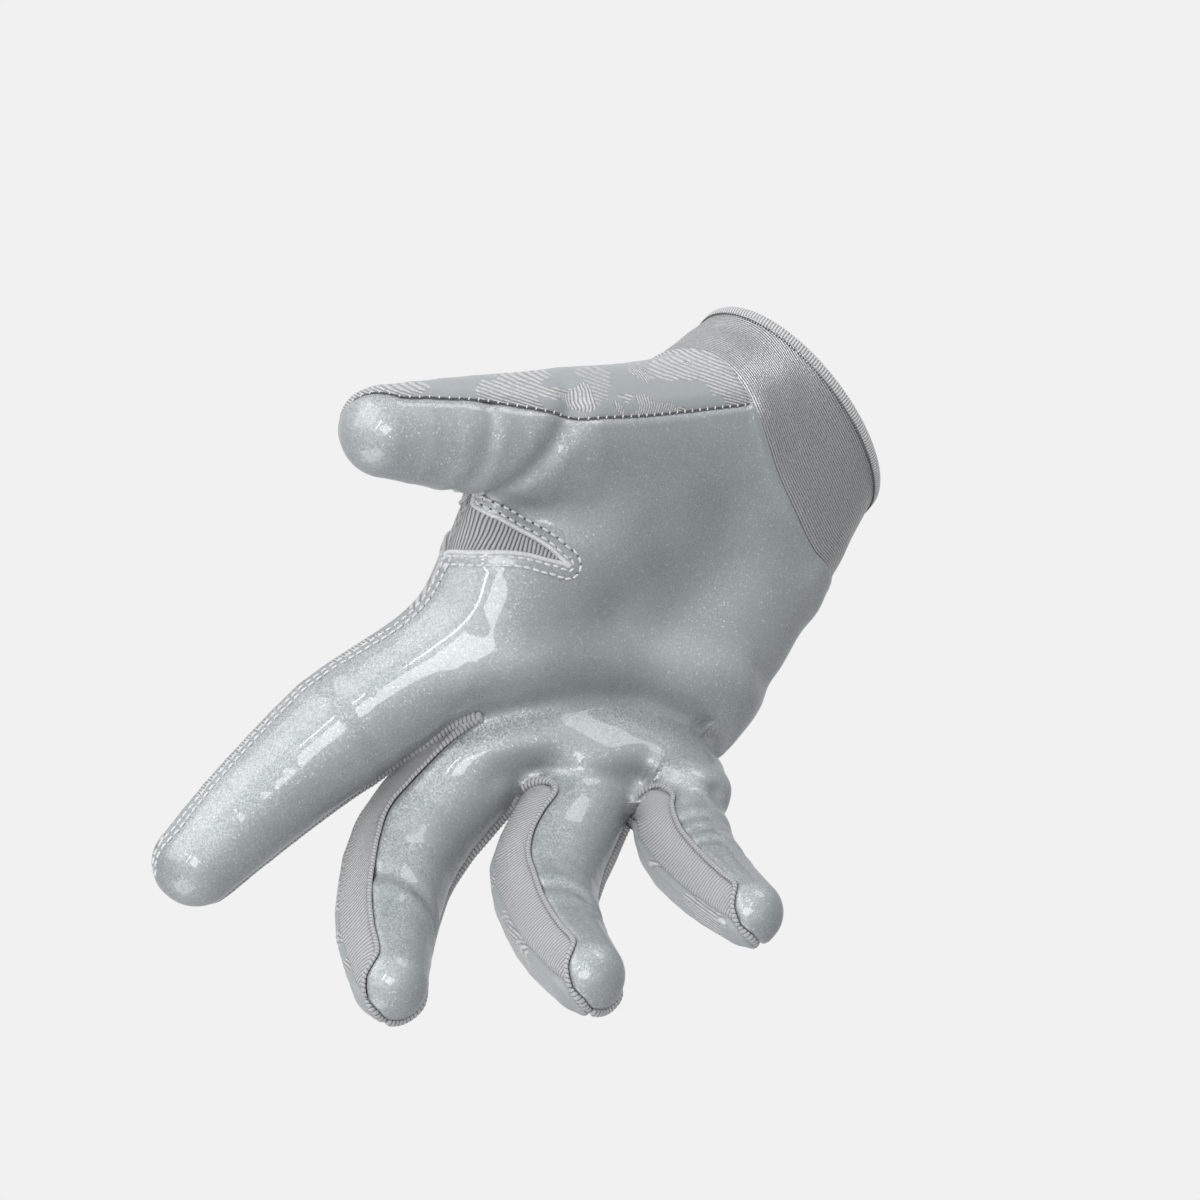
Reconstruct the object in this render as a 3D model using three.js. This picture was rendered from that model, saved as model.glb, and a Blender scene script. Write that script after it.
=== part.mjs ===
// A right-hand football receiver glove, worn shape, in millimetres.
// The origin is the centre of the wrist opening. +Z runs out of the opening along the forearm,
// the palm faces -Y, the thumb is at -X and the little finger at +X.
import * as THREE from "three";

// Walls, and the gaps between sheets and beside the knit strips
const PALM_WALL = 1.6;
const BACK_WALL = 1.4;
const KNIT_WALL = 1.2;
const SEAM_GAP = 0.3;
const KNIT_GAP = 0.6;

// Wrist
const CUFF_WIDTH = 59;
const CUFF_DEPTH = 45;
const CUFF_HEIGHT = 23.5;
const CUFF_FLARE = 2;
const BINDING_HEIGHT = 3;
const BINDING_PROUD = 0.6;
const WRIST_JOINT_DEPTH = 9;
const WRIST_TURN = 9.5;

// Hand
const PALM_LENGTH = 82;
const PALM_WIDTH = 58;
const PALM_THICKNESS = 26;
const THENAR_RADIUS = 15;
const HYPOTHENAR_RADIUS = 12.5;
const ADDUCTOR_RADIUS = 11;
const WEB_RADIUS = 6;

// Digits, from knuckle centre to tip centre (the thumb from its wrist joint), and their base radius
const THUMB_LENGTH = 89.5;
const INDEX_LENGTH = 86;
const MIDDLE_LENGTH = 93;
const RING_LENGTH = 91.5;
const LITTLE_LENGTH = 77.5;
const THUMB_RADIUS = 14;
const INDEX_RADIUS = 12.6;
const MIDDLE_RADIUS = 12;
const RING_RADIUS = 11.6;
const LITTLE_RADIUS = 10.6;

// The rolled seam along the palm edge of a knit strip
const ROLL_WIDTH = 2.4;
const ROLL_HEIGHT = 0.8;

// Digits: root is along, across and towards the palm, as shares of palm length, width and thickness.
// bones and radii are shares of the digit's length and base radius. spread turns towards the little
// finger, flex bends each joint towards the palm, twist turns the pad about the digit, all in degrees.
const DIGITS = [
  {
    name: "thumb", length: THUMB_LENGTH, radius: THUMB_RADIUS, root: [0.15, -0.35, 0.32],
    bones: [0.48, 0.32, 0.2], radii: [0.98, 1.08, 0.9, 0.72], spread: -43.5, flex: [0, -10, -3], twist: -35,
  },
  {
    name: "index", length: INDEX_LENGTH, radius: INDEX_RADIUS, root: [1, -0.54, -0.07],
    bones: [0.5, 0.315, 0.185], radii: [0.98, 1.06, 0.88, 0.74], spread: -6.7, flex: [-24, 13, 6], twist: -4,
  },
  {
    name: "middle", length: MIDDLE_LENGTH, radius: MIDDLE_RADIUS, root: [1.034, -0.17, -0.11],
    bones: [0.5, 0.31, 0.2], radii: [0.98, 1.05, 0.9, 0.68], spread: -2.3, flex: [-10, 45, 16], twist: 5,
  },
  {
    name: "ring", length: RING_LENGTH, radius: RING_RADIUS, root: [0.966, 0.177, 0.04],
    bones: [0.515, 0.295, 0.215], radii: [0.98, 1.04, 0.84, 0.7], spread: -3.8, flex: [19, 37, 11], twist: 7,
  },
  {
    name: "little", length: LITTLE_LENGTH, radius: LITTLE_RADIUS, root: [0.852, 0.405, 0.16],
    bones: [0.5, 0.276, 0.224], radii: [0.98, 1, 0.84, 0.7], spread: 2.4, flex: [42, 24, 6], twist: 6,
  },
];

const degrees = THREE.MathUtils.degToRad;
const mix = (a, b, t) => a + (b - a) * t;
const mixPoint = (a, b, t) => a.clone().lerp(b, t);

// Palm axes: along the palm, across it towards the little finger, and out of the palm
const WRIST = new THREE.Vector3(0, 0, -WRIST_JOINT_DEPTH);
const ALONG = new THREE.Vector3(Math.sin(degrees(WRIST_TURN)), 0, -Math.cos(degrees(WRIST_TURN)));
const ACROSS = new THREE.Vector3(Math.cos(degrees(WRIST_TURN)), 0, Math.sin(degrees(WRIST_TURN)));
const OUT = new THREE.Vector3(0, -1, 0);

function palmPoint([along, across, out]) {
  return WRIST.clone()
    .addScaledVector(ALONG, along * PALM_LENGTH)
    .addScaledVector(ACROSS, across * PALM_WIDTH)
    .addScaledVector(OUT, out * PALM_THICKNESS);
}

// Each digit becomes a chain of joints with one frame per bone: along it, across it and out of its pad
function makeChain(digit) {
  const along = ALONG.clone().applyAxisAngle(OUT, degrees(digit.spread));
  const across = ACROSS.clone().applyAxisAngle(OUT, degrees(digit.spread));
  const out = OUT.clone().applyAxisAngle(along, degrees(digit.twist));
  across.applyAxisAngle(along, degrees(digit.twist));
  const joints = [palmPoint(digit.root)];
  const frames = [];
  digit.bones.forEach((share, i) => {
    along.applyAxisAngle(across, -degrees(digit.flex[i]));
    out.applyAxisAngle(across, -degrees(digit.flex[i]));
    frames.push({ along: along.clone(), across: across.clone(), out: out.clone() });
    joints.push(joints[i].clone().addScaledVector(along, share * digit.length));
  });
  const starts = [0];
  digit.bones.forEach((share, i) => starts.push(starts[i] + share * digit.length));
  const radii = digit.radii.map((share) => share * digit.radius);
  return { name: digit.name, joints, frames, starts, radii, length: starts[3] };
}

const CHAINS = DIGITS.map(makeChain);
const [THUMB, ...FINGERS] = CHAINS;

// The place on a digit at a distance from its root. Near a joint its middle line is rounded off, over a
// share of the radius there. Past the tip centre the radius follows the round end, and the place leans
// to the back, so that the palm sheet wraps the tip.
const JOINT_REACH = 0.9;
const TIP_LEAN = 0.6;
function stationOn(chain, distance) {
  const inside = Math.min(distance, chain.length);
  const past = distance - inside;
  let bone = 0;
  while (bone < 2 && inside > chain.starts[bone + 1]) bone += 1;
  const start = chain.starts[bone];
  const share = (inside - start) / (chain.starts[bone + 1] - start);
  const frame = chain.frames[bone];
  const centre = mixPoint(chain.joints[bone], chain.joints[bone + 1], share).addScaledVector(frame.along, past);
  const radius = mix(chain.radii[bone], chain.radii[bone + 1], share);
  const early = share < 0.5;
  const neighbour = early ? chain.frames[bone - 1] : chain.frames[bone + 1];
  let out = frame.out;
  if (neighbour) {
    const away = early ? inside - start : chain.starts[bone + 1] - inside;
    const reach = JOINT_REACH * chain.radii[early ? bone : bone + 1];
    const near = Math.max(0, 1 - away / reach);
    out = mixPoint(frame.out, neighbour.out, near / 2).normalize();
    const bend = neighbour.along.clone().sub(frame.along).multiplyScalar(early ? -1 : 1);
    centre.addScaledVector(bend, (near * near * reach) / 4);
  }
  centre.addScaledVector(out, -TIP_LEAN * past);
  return { centre, out, across: frame.across, radius: Math.sqrt(Math.max(0, radius * radius - past * past)) };
}

// A point beside a digit, at an angle from its pad towards the little finger
function aroundDigit(chain, distance, angle) {
  const place = stationOn(chain, distance);
  return place.centre
    .addScaledVector(place.out, place.radius * Math.cos(degrees(angle)))
    .addScaledVector(place.across, place.radius * Math.sin(degrees(angle)));
}

// The skin is the zero level of a distance field: tapered rounds joined with soft fillets
function roundBar(start, end, startRadius, endRadius) {
  const axis = end.clone().sub(start);
  return { x: start.x, y: start.y, z: start.z, dx: axis.x, dy: axis.y, dz: axis.z,
    square: axis.lengthSq(), startRadius, endRadius };
}

function barDistance(bar, x, y, z) {
  const px = x - bar.x;
  const py = y - bar.y;
  const pz = z - bar.z;
  const share = Math.min(1, Math.max(0, (px * bar.dx + py * bar.dy + pz * bar.dz) / bar.square));
  const away = Math.hypot(px - share * bar.dx, py - share * bar.dy, pz - share * bar.dz);
  return away - mix(bar.startRadius, bar.endRadius, share);
}

function softMin(a, b, fillet) {
  const near = Math.max(fillet - Math.abs(a - b), 0) / fillet;
  return Math.min(a, b) - (near * near * near * fillet) / 6;
}

const softUnion = (bars, fillet, x, y, z) =>
  bars.reduce((best, bar) => softMin(best, barDistance(bar, x, y, z), fillet), 1e3);

// A digit is a row of short bars along its rounded middle line
const DIGIT_BARS = 12;
function chainBars(chain) {
  const stops = Array.from({ length: DIGIT_BARS + 1 }, (_, i) => stationOn(chain, (i / DIGIT_BARS) * chain.length));
  return stops.slice(1).map((stop, i) => roundBar(stops[i].centre, stop.centre, stops[i].radius, stop.radius));
}

const sharpUnion = (bars, x, y, z) => bars.reduce((best, bar) => Math.min(best, barDistance(bar, x, y, z)), 1e3);

// Heel of the hand: each finger's metacarpal starts here, as shares of palm length, width and thickness
const HEEL = [[0.06, -0.24, 0.02], [0.03, -0.09, 0], [0.03, 0.1, 0], [0.06, 0.2, 0.06]];
const METACARPAL_RADIUS = PALM_THICKNESS / 2;
const METACARPALS = FINGERS.map((chain, i) =>
  roundBar(palmPoint(HEEL[i]), chain.joints[0], METACARPAL_RADIUS * 1.12, chain.radii[0]));

const HYPOTHENAR = roundBar(
  palmPoint([0.2, 0.27, 0.12]), palmPoint([0.66, 0.38, 0.14]), HYPOTHENAR_RADIUS, HYPOTHENAR_RADIUS * 0.88);
const ADDUCTOR = roundBar(
  palmPoint([0.42, -0.36, 0.08]), palmPoint([0.88, -0.64, 0]), ADDUCTOR_RADIUS, ADDUCTOR_RADIUS * 0.9);
const THENAR = roundBar(
  palmPoint([0.12, -0.26, 0.14]), palmPoint([0.5, -0.6, 0.2]), THENAR_RADIUS, THENAR_RADIUS * 0.86);
const WEB = roundBar(palmPoint([0.7, -0.97, 0.02]), palmPoint([1.04, -0.66, -0.2]), WEB_RADIUS, WEB_RADIUS);

// The wrist is one round bar, made oval by squeezing x before it is measured
const CUFF_OVAL = CUFF_DEPTH / CUFF_WIDTH;
const CUFF_BAR = roundBar(
  new THREE.Vector3(0, 0, CUFF_DEPTH / 2), new THREE.Vector3(0, 0, -CUFF_HEIGHT),
  CUFF_DEPTH / 2, CUFF_DEPTH / 2 + CUFF_FLARE / 2);

// The webs of the hand fill the space between neighbouring finger roots
const WEBBING_RADIUS = 10;
const WEBBING_REACH = 0.14;
const WEBBING = FINGERS.slice(1).map((chain, i) => {
  const ends = [0, WEBBING_REACH].map((share) => mixPoint(
    stationOn(FINGERS[i], share * FINGERS[i].length).centre, stationOn(chain, share * chain.length).centre, 0.5));
  return roundBar(ends[0], ends[1], WEBBING_RADIUS, WEBBING_RADIUS * 0.9);
});

const FINGER_BARS = FINGERS.map(chainBars);
const THUMB_BARS = chainBars(THUMB);
const PALM_BARS = [...METACARPALS, ...WEBBING, HYPOTHENAR, THENAR, ADDUCTOR];

const FINGER_FILLET = 2;
const PALM_FILLET = 20;
const KNUCKLE_FILLET = 6;
const THUMB_FILLET = 14;
const WRIST_FILLET = 8;

// Folds and swellings of the stretched sheet on the palm side: from and to are shares of palm length
// and width, bow is how far the middle bends sideways, height is out of the skin, width its half width
const FOLDS = [
  { name: "finger fold", from: [1.14, -0.33], to: [0.8, 0.5], bow: -0.085, width: 0.05, height: -0.09 },
  { name: "finger ridge", from: [1.34, -0.42], to: [0.93, 0.42], bow: -0.05, width: 0.06, height: 0.06 },
  { name: "upper fold", from: [1.36, -0.4], to: [1.06, 0.3], bow: 0.02, width: 0.035, height: -0.045 },
  { name: "thumb crease", from: [0.52, -1.06], to: [0.82, -1], bow: 0, width: 0.035, height: -0.07 },
  { name: "side swelling", from: [0.3, 0.36], to: [0.34, 0.62], bow: 0, width: 0.06, height: 0.05 },
  { name: "side gather", from: [0.5, 0.66], to: [0.62, 0.4], bow: -0.03, width: 0.04, height: -0.025 },
].map((fold) => ({
  ...fold,
  start: fold.from.map((share, i) => share * (i === 0 ? PALM_LENGTH : PALM_WIDTH)),
  end: fold.to.map((share, i) => share * (i === 0 ? PALM_LENGTH : PALM_WIDTH)),
}));

function foldHeight(along, across, out) {
  const facing = Math.min(1, Math.max(0, 0.5 + out / PALM_THICKNESS));
  let height = 0;
  FOLDS.forEach((fold) => {
    const runX = fold.end[0] - fold.start[0];
    const runY = fold.end[1] - fold.start[1];
    const run = Math.hypot(runX, runY);
    const x = along - fold.start[0];
    const y = across - fold.start[1];
    const share = (x * runX + y * runY) / (run * run);
    const beside = (x * runY - y * runX) / run - fold.bow * PALM_LENGTH * 4 * share * (1 - share);
    const past = Math.max(0, -share, share - 1) * run;
    const reach = Math.hypot(beside, past) / (fold.width * PALM_LENGTH);
    height += fold.height * PALM_THICKNESS * Math.exp(-reach * reach);
  });
  return height * facing;
}

function skinDistance(x, y, z) {
  const fingers = FINGER_BARS.reduce((best, bars) => softMin(best, sharpUnion(bars, x, y, z), FINGER_FILLET), 1e3);
  const palm = softUnion(PALM_BARS, PALM_FILLET, x, y, z);
  const thumb = softMin(sharpUnion(THUMB_BARS, x, y, z), barDistance(WEB, x, y, z), KNUCKLE_FILLET);
  const wrist = barDistance(CUFF_BAR, x * CUFF_OVAL, y, z);
  const hand = softMin(softMin(palm, fingers, KNUCKLE_FILLET), thumb, THUMB_FILLET);
  const along = (x - WRIST.x) * ALONG.x + (z - WRIST.z) * ALONG.z;
  const across = (x - WRIST.x) * ACROSS.x + (z - WRIST.z) * ACROSS.z;
  return softMin(hand, wrist, WRIST_FILLET) - foldHeight(along, across, -y);
}

function skinSlope(p) {
  const step = 0.05;
  return new THREE.Vector3(
    skinDistance(p.x + step, p.y, p.z) - skinDistance(p.x - step, p.y, p.z),
    skinDistance(p.x, p.y + step, p.z) - skinDistance(p.x, p.y - step, p.z),
    skinDistance(p.x, p.y, p.z + step) - skinDistance(p.x, p.y, p.z - step),
  ).divideScalar(2 * step);
}

// Moves a point down the slope of the field until it lies on the skin
function ontoSkin(point, flat = false) {
  const p = point.clone();
  for (let round = 0; round < 12; round += 1) {
    const slope = skinSlope(p);
    if (flat) slope.z = 0;
    p.addScaledVector(slope, -skinDistance(p.x, p.y, p.z) / Math.max(slope.lengthSq(), 0.2));
  }
  return p;
}

// Rows and columns of the panels
const STRIP_COLUMNS = 5;
const PALM_ROWS = 7;
const WEB_ROWS = 5;
const KNUCKLE_ROWS = 4;
const DIGIT_ROWS = 9;
const TIP_ROWS = 3;
const THUMB_ROWS = 4;
const GUSSET_COLUMNS = 4;

// The knit strips run on past the tip centres, to this row
const GUSSET_ROWS = DIGIT_ROWS + 2;

// Between two fingers: the first step past the crotch, how far the back's corner lies behind it, and how
// far both corners lie from the middle, as a share of the finger's radius
const SPLIT_STEP = 3.5;
const BACK_SETBACK = 4;
const CROTCH_DEPTH = 0.72;
const SPLIT_ROW = PALM_ROWS + WEB_ROWS + KNUCKLE_ROWS;

// Seam angles from the pad: where the palm sheet ends, at the crotch and further out, and where
// the back begins
const GUSSET_CORNER = 60;
const GUSSET_FRONT = 72;
const GUSSET_BACK = 128;
const GUSSET_END = 98;
const INDEX_SIDE = 110;
const LITTLE_SIDE = 110;
const THUMB_TOP = [50, 55, 72, 88];
const THUMB_SIDE = 98;
const THUMB_PAD = 15;
const THUMB_TIP_PAD = 4;
const THUMB_BACK = -148;
const THUMB_TIP_BACK = -178;
const OUTER_TIP = 95;

// The wrist seam: angle round the cuff from the palm towards the little finger, and its height
// as a share of the cuff's. Lines 0 to 5 bound the thumb and the four finger strips.
const FRONT_SEAM = [
  { angle: -45, height: 1.06 }, { angle: -32, height: 1.1 }, { angle: -18, height: 1.16 }, { angle: -7, height: 1.2 },
  { angle: 5, height: 1.22 }, { angle: 18, height: 1.22 }, { angle: 32, height: 1.2 }, { angle: 48, height: 1.18 },
  { angle: 66, height: 1.16 }, { angle: 88, height: 1.14 }, { angle: 112, height: 1.1 },
];
const BACK_SEAM = [
  { angle: 315, height: 1.06 }, { angle: 278, height: 0.98 }, { angle: 246, height: 0.98 }, { angle: 228, height: 1 },
  { angle: 212, height: 1 }, { angle: 198, height: 1 }, { angle: 184, height: 1 }, { angle: 170, height: 1 },
  { angle: 155, height: 1.02 }, { angle: 135, height: 1.05 }, { angle: 112, height: 1.1 },
];

function cuffPoint(angle, height) {
  const x = (CUFF_WIDTH / 2) * Math.sin(degrees(angle));
  const y = (-CUFF_DEPTH / 2) * Math.cos(degrees(angle));
  return new THREE.Vector3(x, y, -height);
}

// The web level: one point for each line, as shares of palm length, width and thickness
const FRONT_LEVEL = {
  1: [0.82, -0.6, 0.5], 1.5: [0.82, -0.47, 0.55], 2: [0.82, -0.34, 0.55], 2.5: [0.8, -0.16, 0.55], 3: [0.78, 0.02, 0.55],
  3.5: [0.75, 0.2, 0.55], 4: [0.72, 0.36, 0.55], 4.5: [0.69, 0.54, 0.55], 5: [0.66, 0.74, 0.05],
};
const BACK_LEVEL = {
  1: [0.78, -0.72, -0.4], 1.5: [0.8, -0.5, -0.55], 2: [0.82, -0.34, -0.55], 2.5: [0.8, -0.16, -0.55], 3: [0.78, 0.02, -0.55],
  3.5: [0.75, 0.2, -0.55], 4: [0.72, 0.36, -0.5], 4.5: [0.69, 0.54, -0.4], 5: [0.66, 0.74, 0.05],
};
const WEB_CORNER_THUMB = palmPoint([0.85, -1.04, -0.1]);
const WEB_CORNER_INDEX = palmPoint([1.0, -0.98, -0.25]);
const THUMB_LEVEL_STATION = 0.54 * THUMB_LENGTH;
const THUMB_WEB_STATION = 0.76 * THUMB_LENGTH;

// Where two neighbouring fingers part: the middle line between them leaves the skin
function findCrotch(first, second, setback) {
  const level = (chain) => chain.joints[0].clone().sub(WRIST).dot(ALONG);
  const reference = Math.max(level(first), level(second));
  const offsets = [reference - level(first), reference - level(second)];
  const middle = (t) => mixPoint(
    stationOn(first, t + offsets[0]).centre, stationOn(second, t + offsets[1]).centre, 0.5);
  let inside = 0;
  let outside = 0.7 * Math.min(first.length, second.length);
  for (let round = 0; round < 40; round += 1) {
    const t = (inside + outside) / 2;
    const p = middle(t);
    if (skinDistance(p.x, p.y, p.z) < 0) inside = t;
    else outside = t;
  }
  const out = mixPoint(stationOn(first, inside).out, stationOn(second, inside).out, 0.5).normalize();
  const depth = CROTCH_DEPTH * Math.min(first.radii[0], second.radii[0]);
  return {
    first: inside + offsets[0],
    second: inside + offsets[1],
    setback,
    saddle: middle(inside),
    front: middle(inside - setback).addScaledVector(out, depth),
    back: middle(inside - BACK_SETBACK).addScaledVector(out, -depth),
  };
}

// How far the palm sheet's corner lies behind each crotch, as a share of the finger's length
const FRONT_SETBACKS = [0.2, 0.03, 0.03];
const CROTCHES = FRONT_SETBACKS.map((share, i) => findCrotch(FINGERS[i], FINGERS[i + 1], share * FINGERS[i].length));

// Distance along a finger where its rows begin, on its thumb side and on its little-finger side.
// Between two fingers the palm sheet parts nearer to the palm than the back does.
function rowStart(finger, side, front) {
  const crotch = CROTCHES[side < 0 ? finger - 1 : finger];
  if (!crotch) return side < 0 ? CROTCHES[0].first : CROTCHES[2].second;
  return (side < 0 ? crotch.second : crotch.first) - (front ? crotch.setback : BACK_SETBACK);
}

// A row's distance from the root: a short first step past the split, even steps to the tip centre,
// then steps round the end
function rowDistance(chain, start, row, rows) {
  if (row === 0) return start;
  if (row <= rows) return mix(start + SPLIT_STEP, chain.length, (row - 1) / (rows - 1));
  return chain.length + chain.radii[3] * Math.sin(((row - rows) / TIP_ROWS) * (Math.PI / 2));
}

const tipShare = (row, rows) => Math.max(0, (row - rows) / TIP_ROWS);

// The seam angle on a finger's side, front or back, at a row past the split
function fingerSeamAngle(finger, side, front, row) {
  if (finger === 0 && side < 0) return side * mix(INDEX_SIDE, OUTER_TIP, tipShare(row, DIGIT_ROWS));
  if (finger === 3 && side > 0) return side * mix(LITTLE_SIDE, OUTER_TIP, tipShare(row, DIGIT_ROWS));
  const angle = front ? mix(GUSSET_CORNER, GUSSET_FRONT, Math.min(1, row / 4)) : GUSSET_BACK;
  const taper = Math.min(1, Math.max(0, (row - DIGIT_ROWS) / (GUSSET_ROWS - DIGIT_ROWS)));
  return side * mix(angle, GUSSET_END, taper);
}

// A guess for a point of line 0 to 5 (halves are the middles of the strips) on a finger past the split
function fingerLinePoint(line, finger, front, row) {
  const chain = FINGERS[finger];
  const place = line - 1 - finger;
  const start = mix(rowStart(finger, -1, front), rowStart(finger, 1, front), place);
  const distance = rowDistance(chain, start, row, DIGIT_ROWS);
  if (place === 0.5) return aroundDigit(chain, distance, front ? 0 : 180);
  return aroundDigit(chain, distance, fingerSeamAngle(finger, place === 0 ? -1 : 1, front, row));
}

// The split row itself: the crotch corners, and the sides of the outer fingers
function splitPoint(line, front) {
  if (line === 2 || line === 3 || line === 4) {
    const crotch = CROTCHES[line - 2];
    return front ? crotch.front : crotch.back;
  }
  const finger = Math.min(3, Math.floor(line) - 1);
  return fingerLinePoint(line, finger, front, 0);
}

function levelPoint(line, front) {
  if (line === 0) return aroundDigit(THUMB, THUMB_LEVEL_STATION, -THUMB_TOP[1]);
  if (line === 0.5) return aroundDigit(THUMB, THUMB_LEVEL_STATION, front ? THUMB_PAD : THUMB_BACK);
  return palmPoint((front ? FRONT_LEVEL : BACK_LEVEL)[line]);
}

// Rows of the web wedge lie closer together towards its folded edge
const webShare = (row) => Math.sin((row / WEB_ROWS) * (Math.PI / 2));

// A guess for a point of a line between the wrist seam and the split
function palmLinePoint(line, front, row) {
  if (row <= PALM_ROWS) {
    const seam = (front ? FRONT_SEAM : BACK_SEAM)[line * 2];
    const share = row / PALM_ROWS;
    if (line < 1 && row > 0) {
      const angle = line === 0 ? -mix(THUMB_TOP[0], THUMB_TOP[1], share) : front ? THUMB_PAD : THUMB_BACK;
      const near = aroundDigit(THUMB, share * THUMB_LEVEL_STATION, angle);
      return mixPoint(cuffPoint(seam.angle, seam.height * CUFF_HEIGHT), near, Math.min(1, 1.6 * share));
    }
    return mixPoint(cuffPoint(seam.angle, seam.height * CUFF_HEIGHT), levelPoint(line, front), share);
  }
  if (line === 1) {
    const webRow = row - PALM_ROWS;
    if (webRow <= WEB_ROWS) return mixPoint(levelPoint(1, front), WEB_CORNER_INDEX, webShare(webRow));
    return mixPoint(WEB_CORNER_INDEX, splitPoint(1, front), (webRow - WEB_ROWS) / KNUCKLE_ROWS);
  }
  return mixPoint(levelPoint(line, front), splitPoint(line, front), (row - PALM_ROWS) / (SPLIT_ROW - PALM_ROWS));
}

// A guess for a point of the thumb's own lines past the web level
function thumbLinePoint(line, front, row) {
  if (row <= WEB_ROWS) {
    const share = row / WEB_ROWS;
    const distance = mix(THUMB_LEVEL_STATION, THUMB_WEB_STATION, share);
    if (line === 0) return aroundDigit(THUMB, distance, -mix(THUMB_TOP[1], THUMB_TOP[2], share));
    if (line === 0.5) return aroundDigit(THUMB, distance, front ? THUMB_PAD : THUMB_BACK);
    return mixPoint(levelPoint(1, front), WEB_CORNER_THUMB, webShare(row));
  }
  const rest = row - WEB_ROWS;
  const distance = rowDistance(THUMB, THUMB_WEB_STATION, rest, THUMB_ROWS);
  const share = Math.min(1, rest / THUMB_ROWS);
  if (line === 0) return aroundDigit(THUMB, distance, -mix(THUMB_TOP[2], THUMB_TOP[3], share));
  if (line === 0.5 && front) return aroundDigit(THUMB, distance, mix(THUMB_PAD, THUMB_TIP_PAD, share));
  if (line === 0.5) return aroundDigit(THUMB, distance, mix(THUMB_BACK, THUMB_TIP_BACK, share));
  return aroundDigit(THUMB, distance, mix(THUMB_SIDE, 90, share));
}

// A curve through three points, its middle one at half way
function arcPoint(left, middle, right, share) {
  const rest = 1 - share;
  const control = middle.clone().multiplyScalar(2).addScaledVector(left, -0.5).addScaledVector(right, -0.5);
  return left.clone().multiplyScalar(rest * rest)
    .addScaledVector(control, 2 * rest * share)
    .addScaledVector(right, share * share);
}

// A sheet gathers skin points with shared corners merged, and the triangles between them
class Sheet {
  constructor(thickness, gap = SEAM_GAP) {
    this.thickness = thickness;
    this.gap = gap;
    this.lifts = new Map();
    this.points = [];
    this.triangles = [];
    this.known = new Map();
  }

  add(point) {
    const key = [point.x, point.y, point.z].map((value) => Math.round(value * 500)).join(" ");
    if (!this.known.has(key)) {
      this.known.set(key, this.points.length);
      this.points.push(point);
    }
    return this.known.get(key);
  }

  raise(point, height) {
    this.lifts.set(this.add(point), height);
  }

  face(a, b, c) {
    if (a !== b && b !== c && c !== a) this.triangles.push([a, b, c]);
  }

  // Rows of skin points. Turned swaps which side faces out.
  grid(rows, turned) {
    const index = rows.map((row) => row.map((point) => this.add(point)));
    for (let r = 0; r + 1 < index.length; r += 1) {
      for (let c = 0; c + 1 < index[r].length; c += 1) {
        const [a, b, d, e] = [index[r][c], index[r][c + 1], index[r + 1][c], index[r + 1][c + 1]];
        if (!turned) {
          this.face(a, d, b);
          this.face(b, d, e);
        } else {
          this.face(a, b, d);
          this.face(b, e, d);
        }
      }
    }
  }

  // Directed edges used by one triangle only, as start to end
  borders() {
    const edges = new Set();
    this.triangles.forEach(([a, b, c]) => [[a, b], [b, c], [c, a]].forEach(([s, e]) => edges.add(`${s} ${e}`)));
    const open = new Map();
    edges.forEach((edge) => {
      const [start, end] = edge.split(" ").map(Number);
      if (!edges.has(`${end} ${start}`)) open.set(start, end);
    });
    return open;
  }

  // Draws the border in by half the seam gap, square to its run and within the skin
  inset(normals) {
    const next = this.borders();
    const before = new Map([...next].map(([start, end]) => [end, start]));
    const moved = new Map();
    next.forEach((end, start) => {
      const here = this.points[start];
      const arriving = here.clone().sub(this.points[before.get(start)]).normalize();
      const leaving = this.points[end].clone().sub(here).normalize();
      const first = normals[start].clone().cross(arriving);
      const second = normals[start].clone().cross(leaving);
      const inward = first.normalize().add(second.normalize());
      const half = inward.length() / 2;
      moved.set(start, here.clone().addScaledVector(inward.normalize(), this.gap / 2 / Math.max(half, 0.25)));
    });
    moved.forEach((point, start) => { this.points[start] = point; });
    return next;
  }

  // The sheet's outer side, its inner side one thickness below, and the rim between them
  toGeometry() {
    const normals = this.points.map((point) => skinSlope(point).normalize());
    const next = this.inset(normals);
    const count = this.points.length;
    const inner = this.points.map((point, i) => point.clone().addScaledVector(normals[i], -this.thickness));
    const faces = [...this.triangles];
    this.triangles.forEach(([a, b, c]) => faces.push([a + count, c + count, b + count]));
    next.forEach((end, start) => {
      faces.push([end, start, start + count]);
      faces.push([end, start + count, end + count]);
    });
    const outer = this.points.map((point, i) => point.clone().addScaledVector(normals[i], this.lifts.get(i) ?? 0));
    return toBuffer([...outer, ...inner], faces);
  }
}

function toBuffer(points, faces) {
  const geometry = new THREE.BufferGeometry();
  geometry.setAttribute("position", new THREE.Float32BufferAttribute(points.flatMap((p) => [p.x, p.y, p.z]), 3));
  geometry.setIndex(faces.flat());
  geometry.computeVertexNormals();
  return geometry;
}

// Rows of a strip: three guessed points each, spread over the columns and put onto the skin
function stripRows(count, lineAt) {
  const rows = [];
  for (let row = 0; row <= count; row += 1) {
    const [left, middle, right] = lineAt(row);
    const points = [];
    for (let column = 0; column <= STRIP_COLUMNS; column += 1) {
      points.push(ontoSkin(arcPoint(left, middle, right, column / STRIP_COLUMNS)));
    }
    rows.push(points);
  }
  return rows;
}

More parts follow.
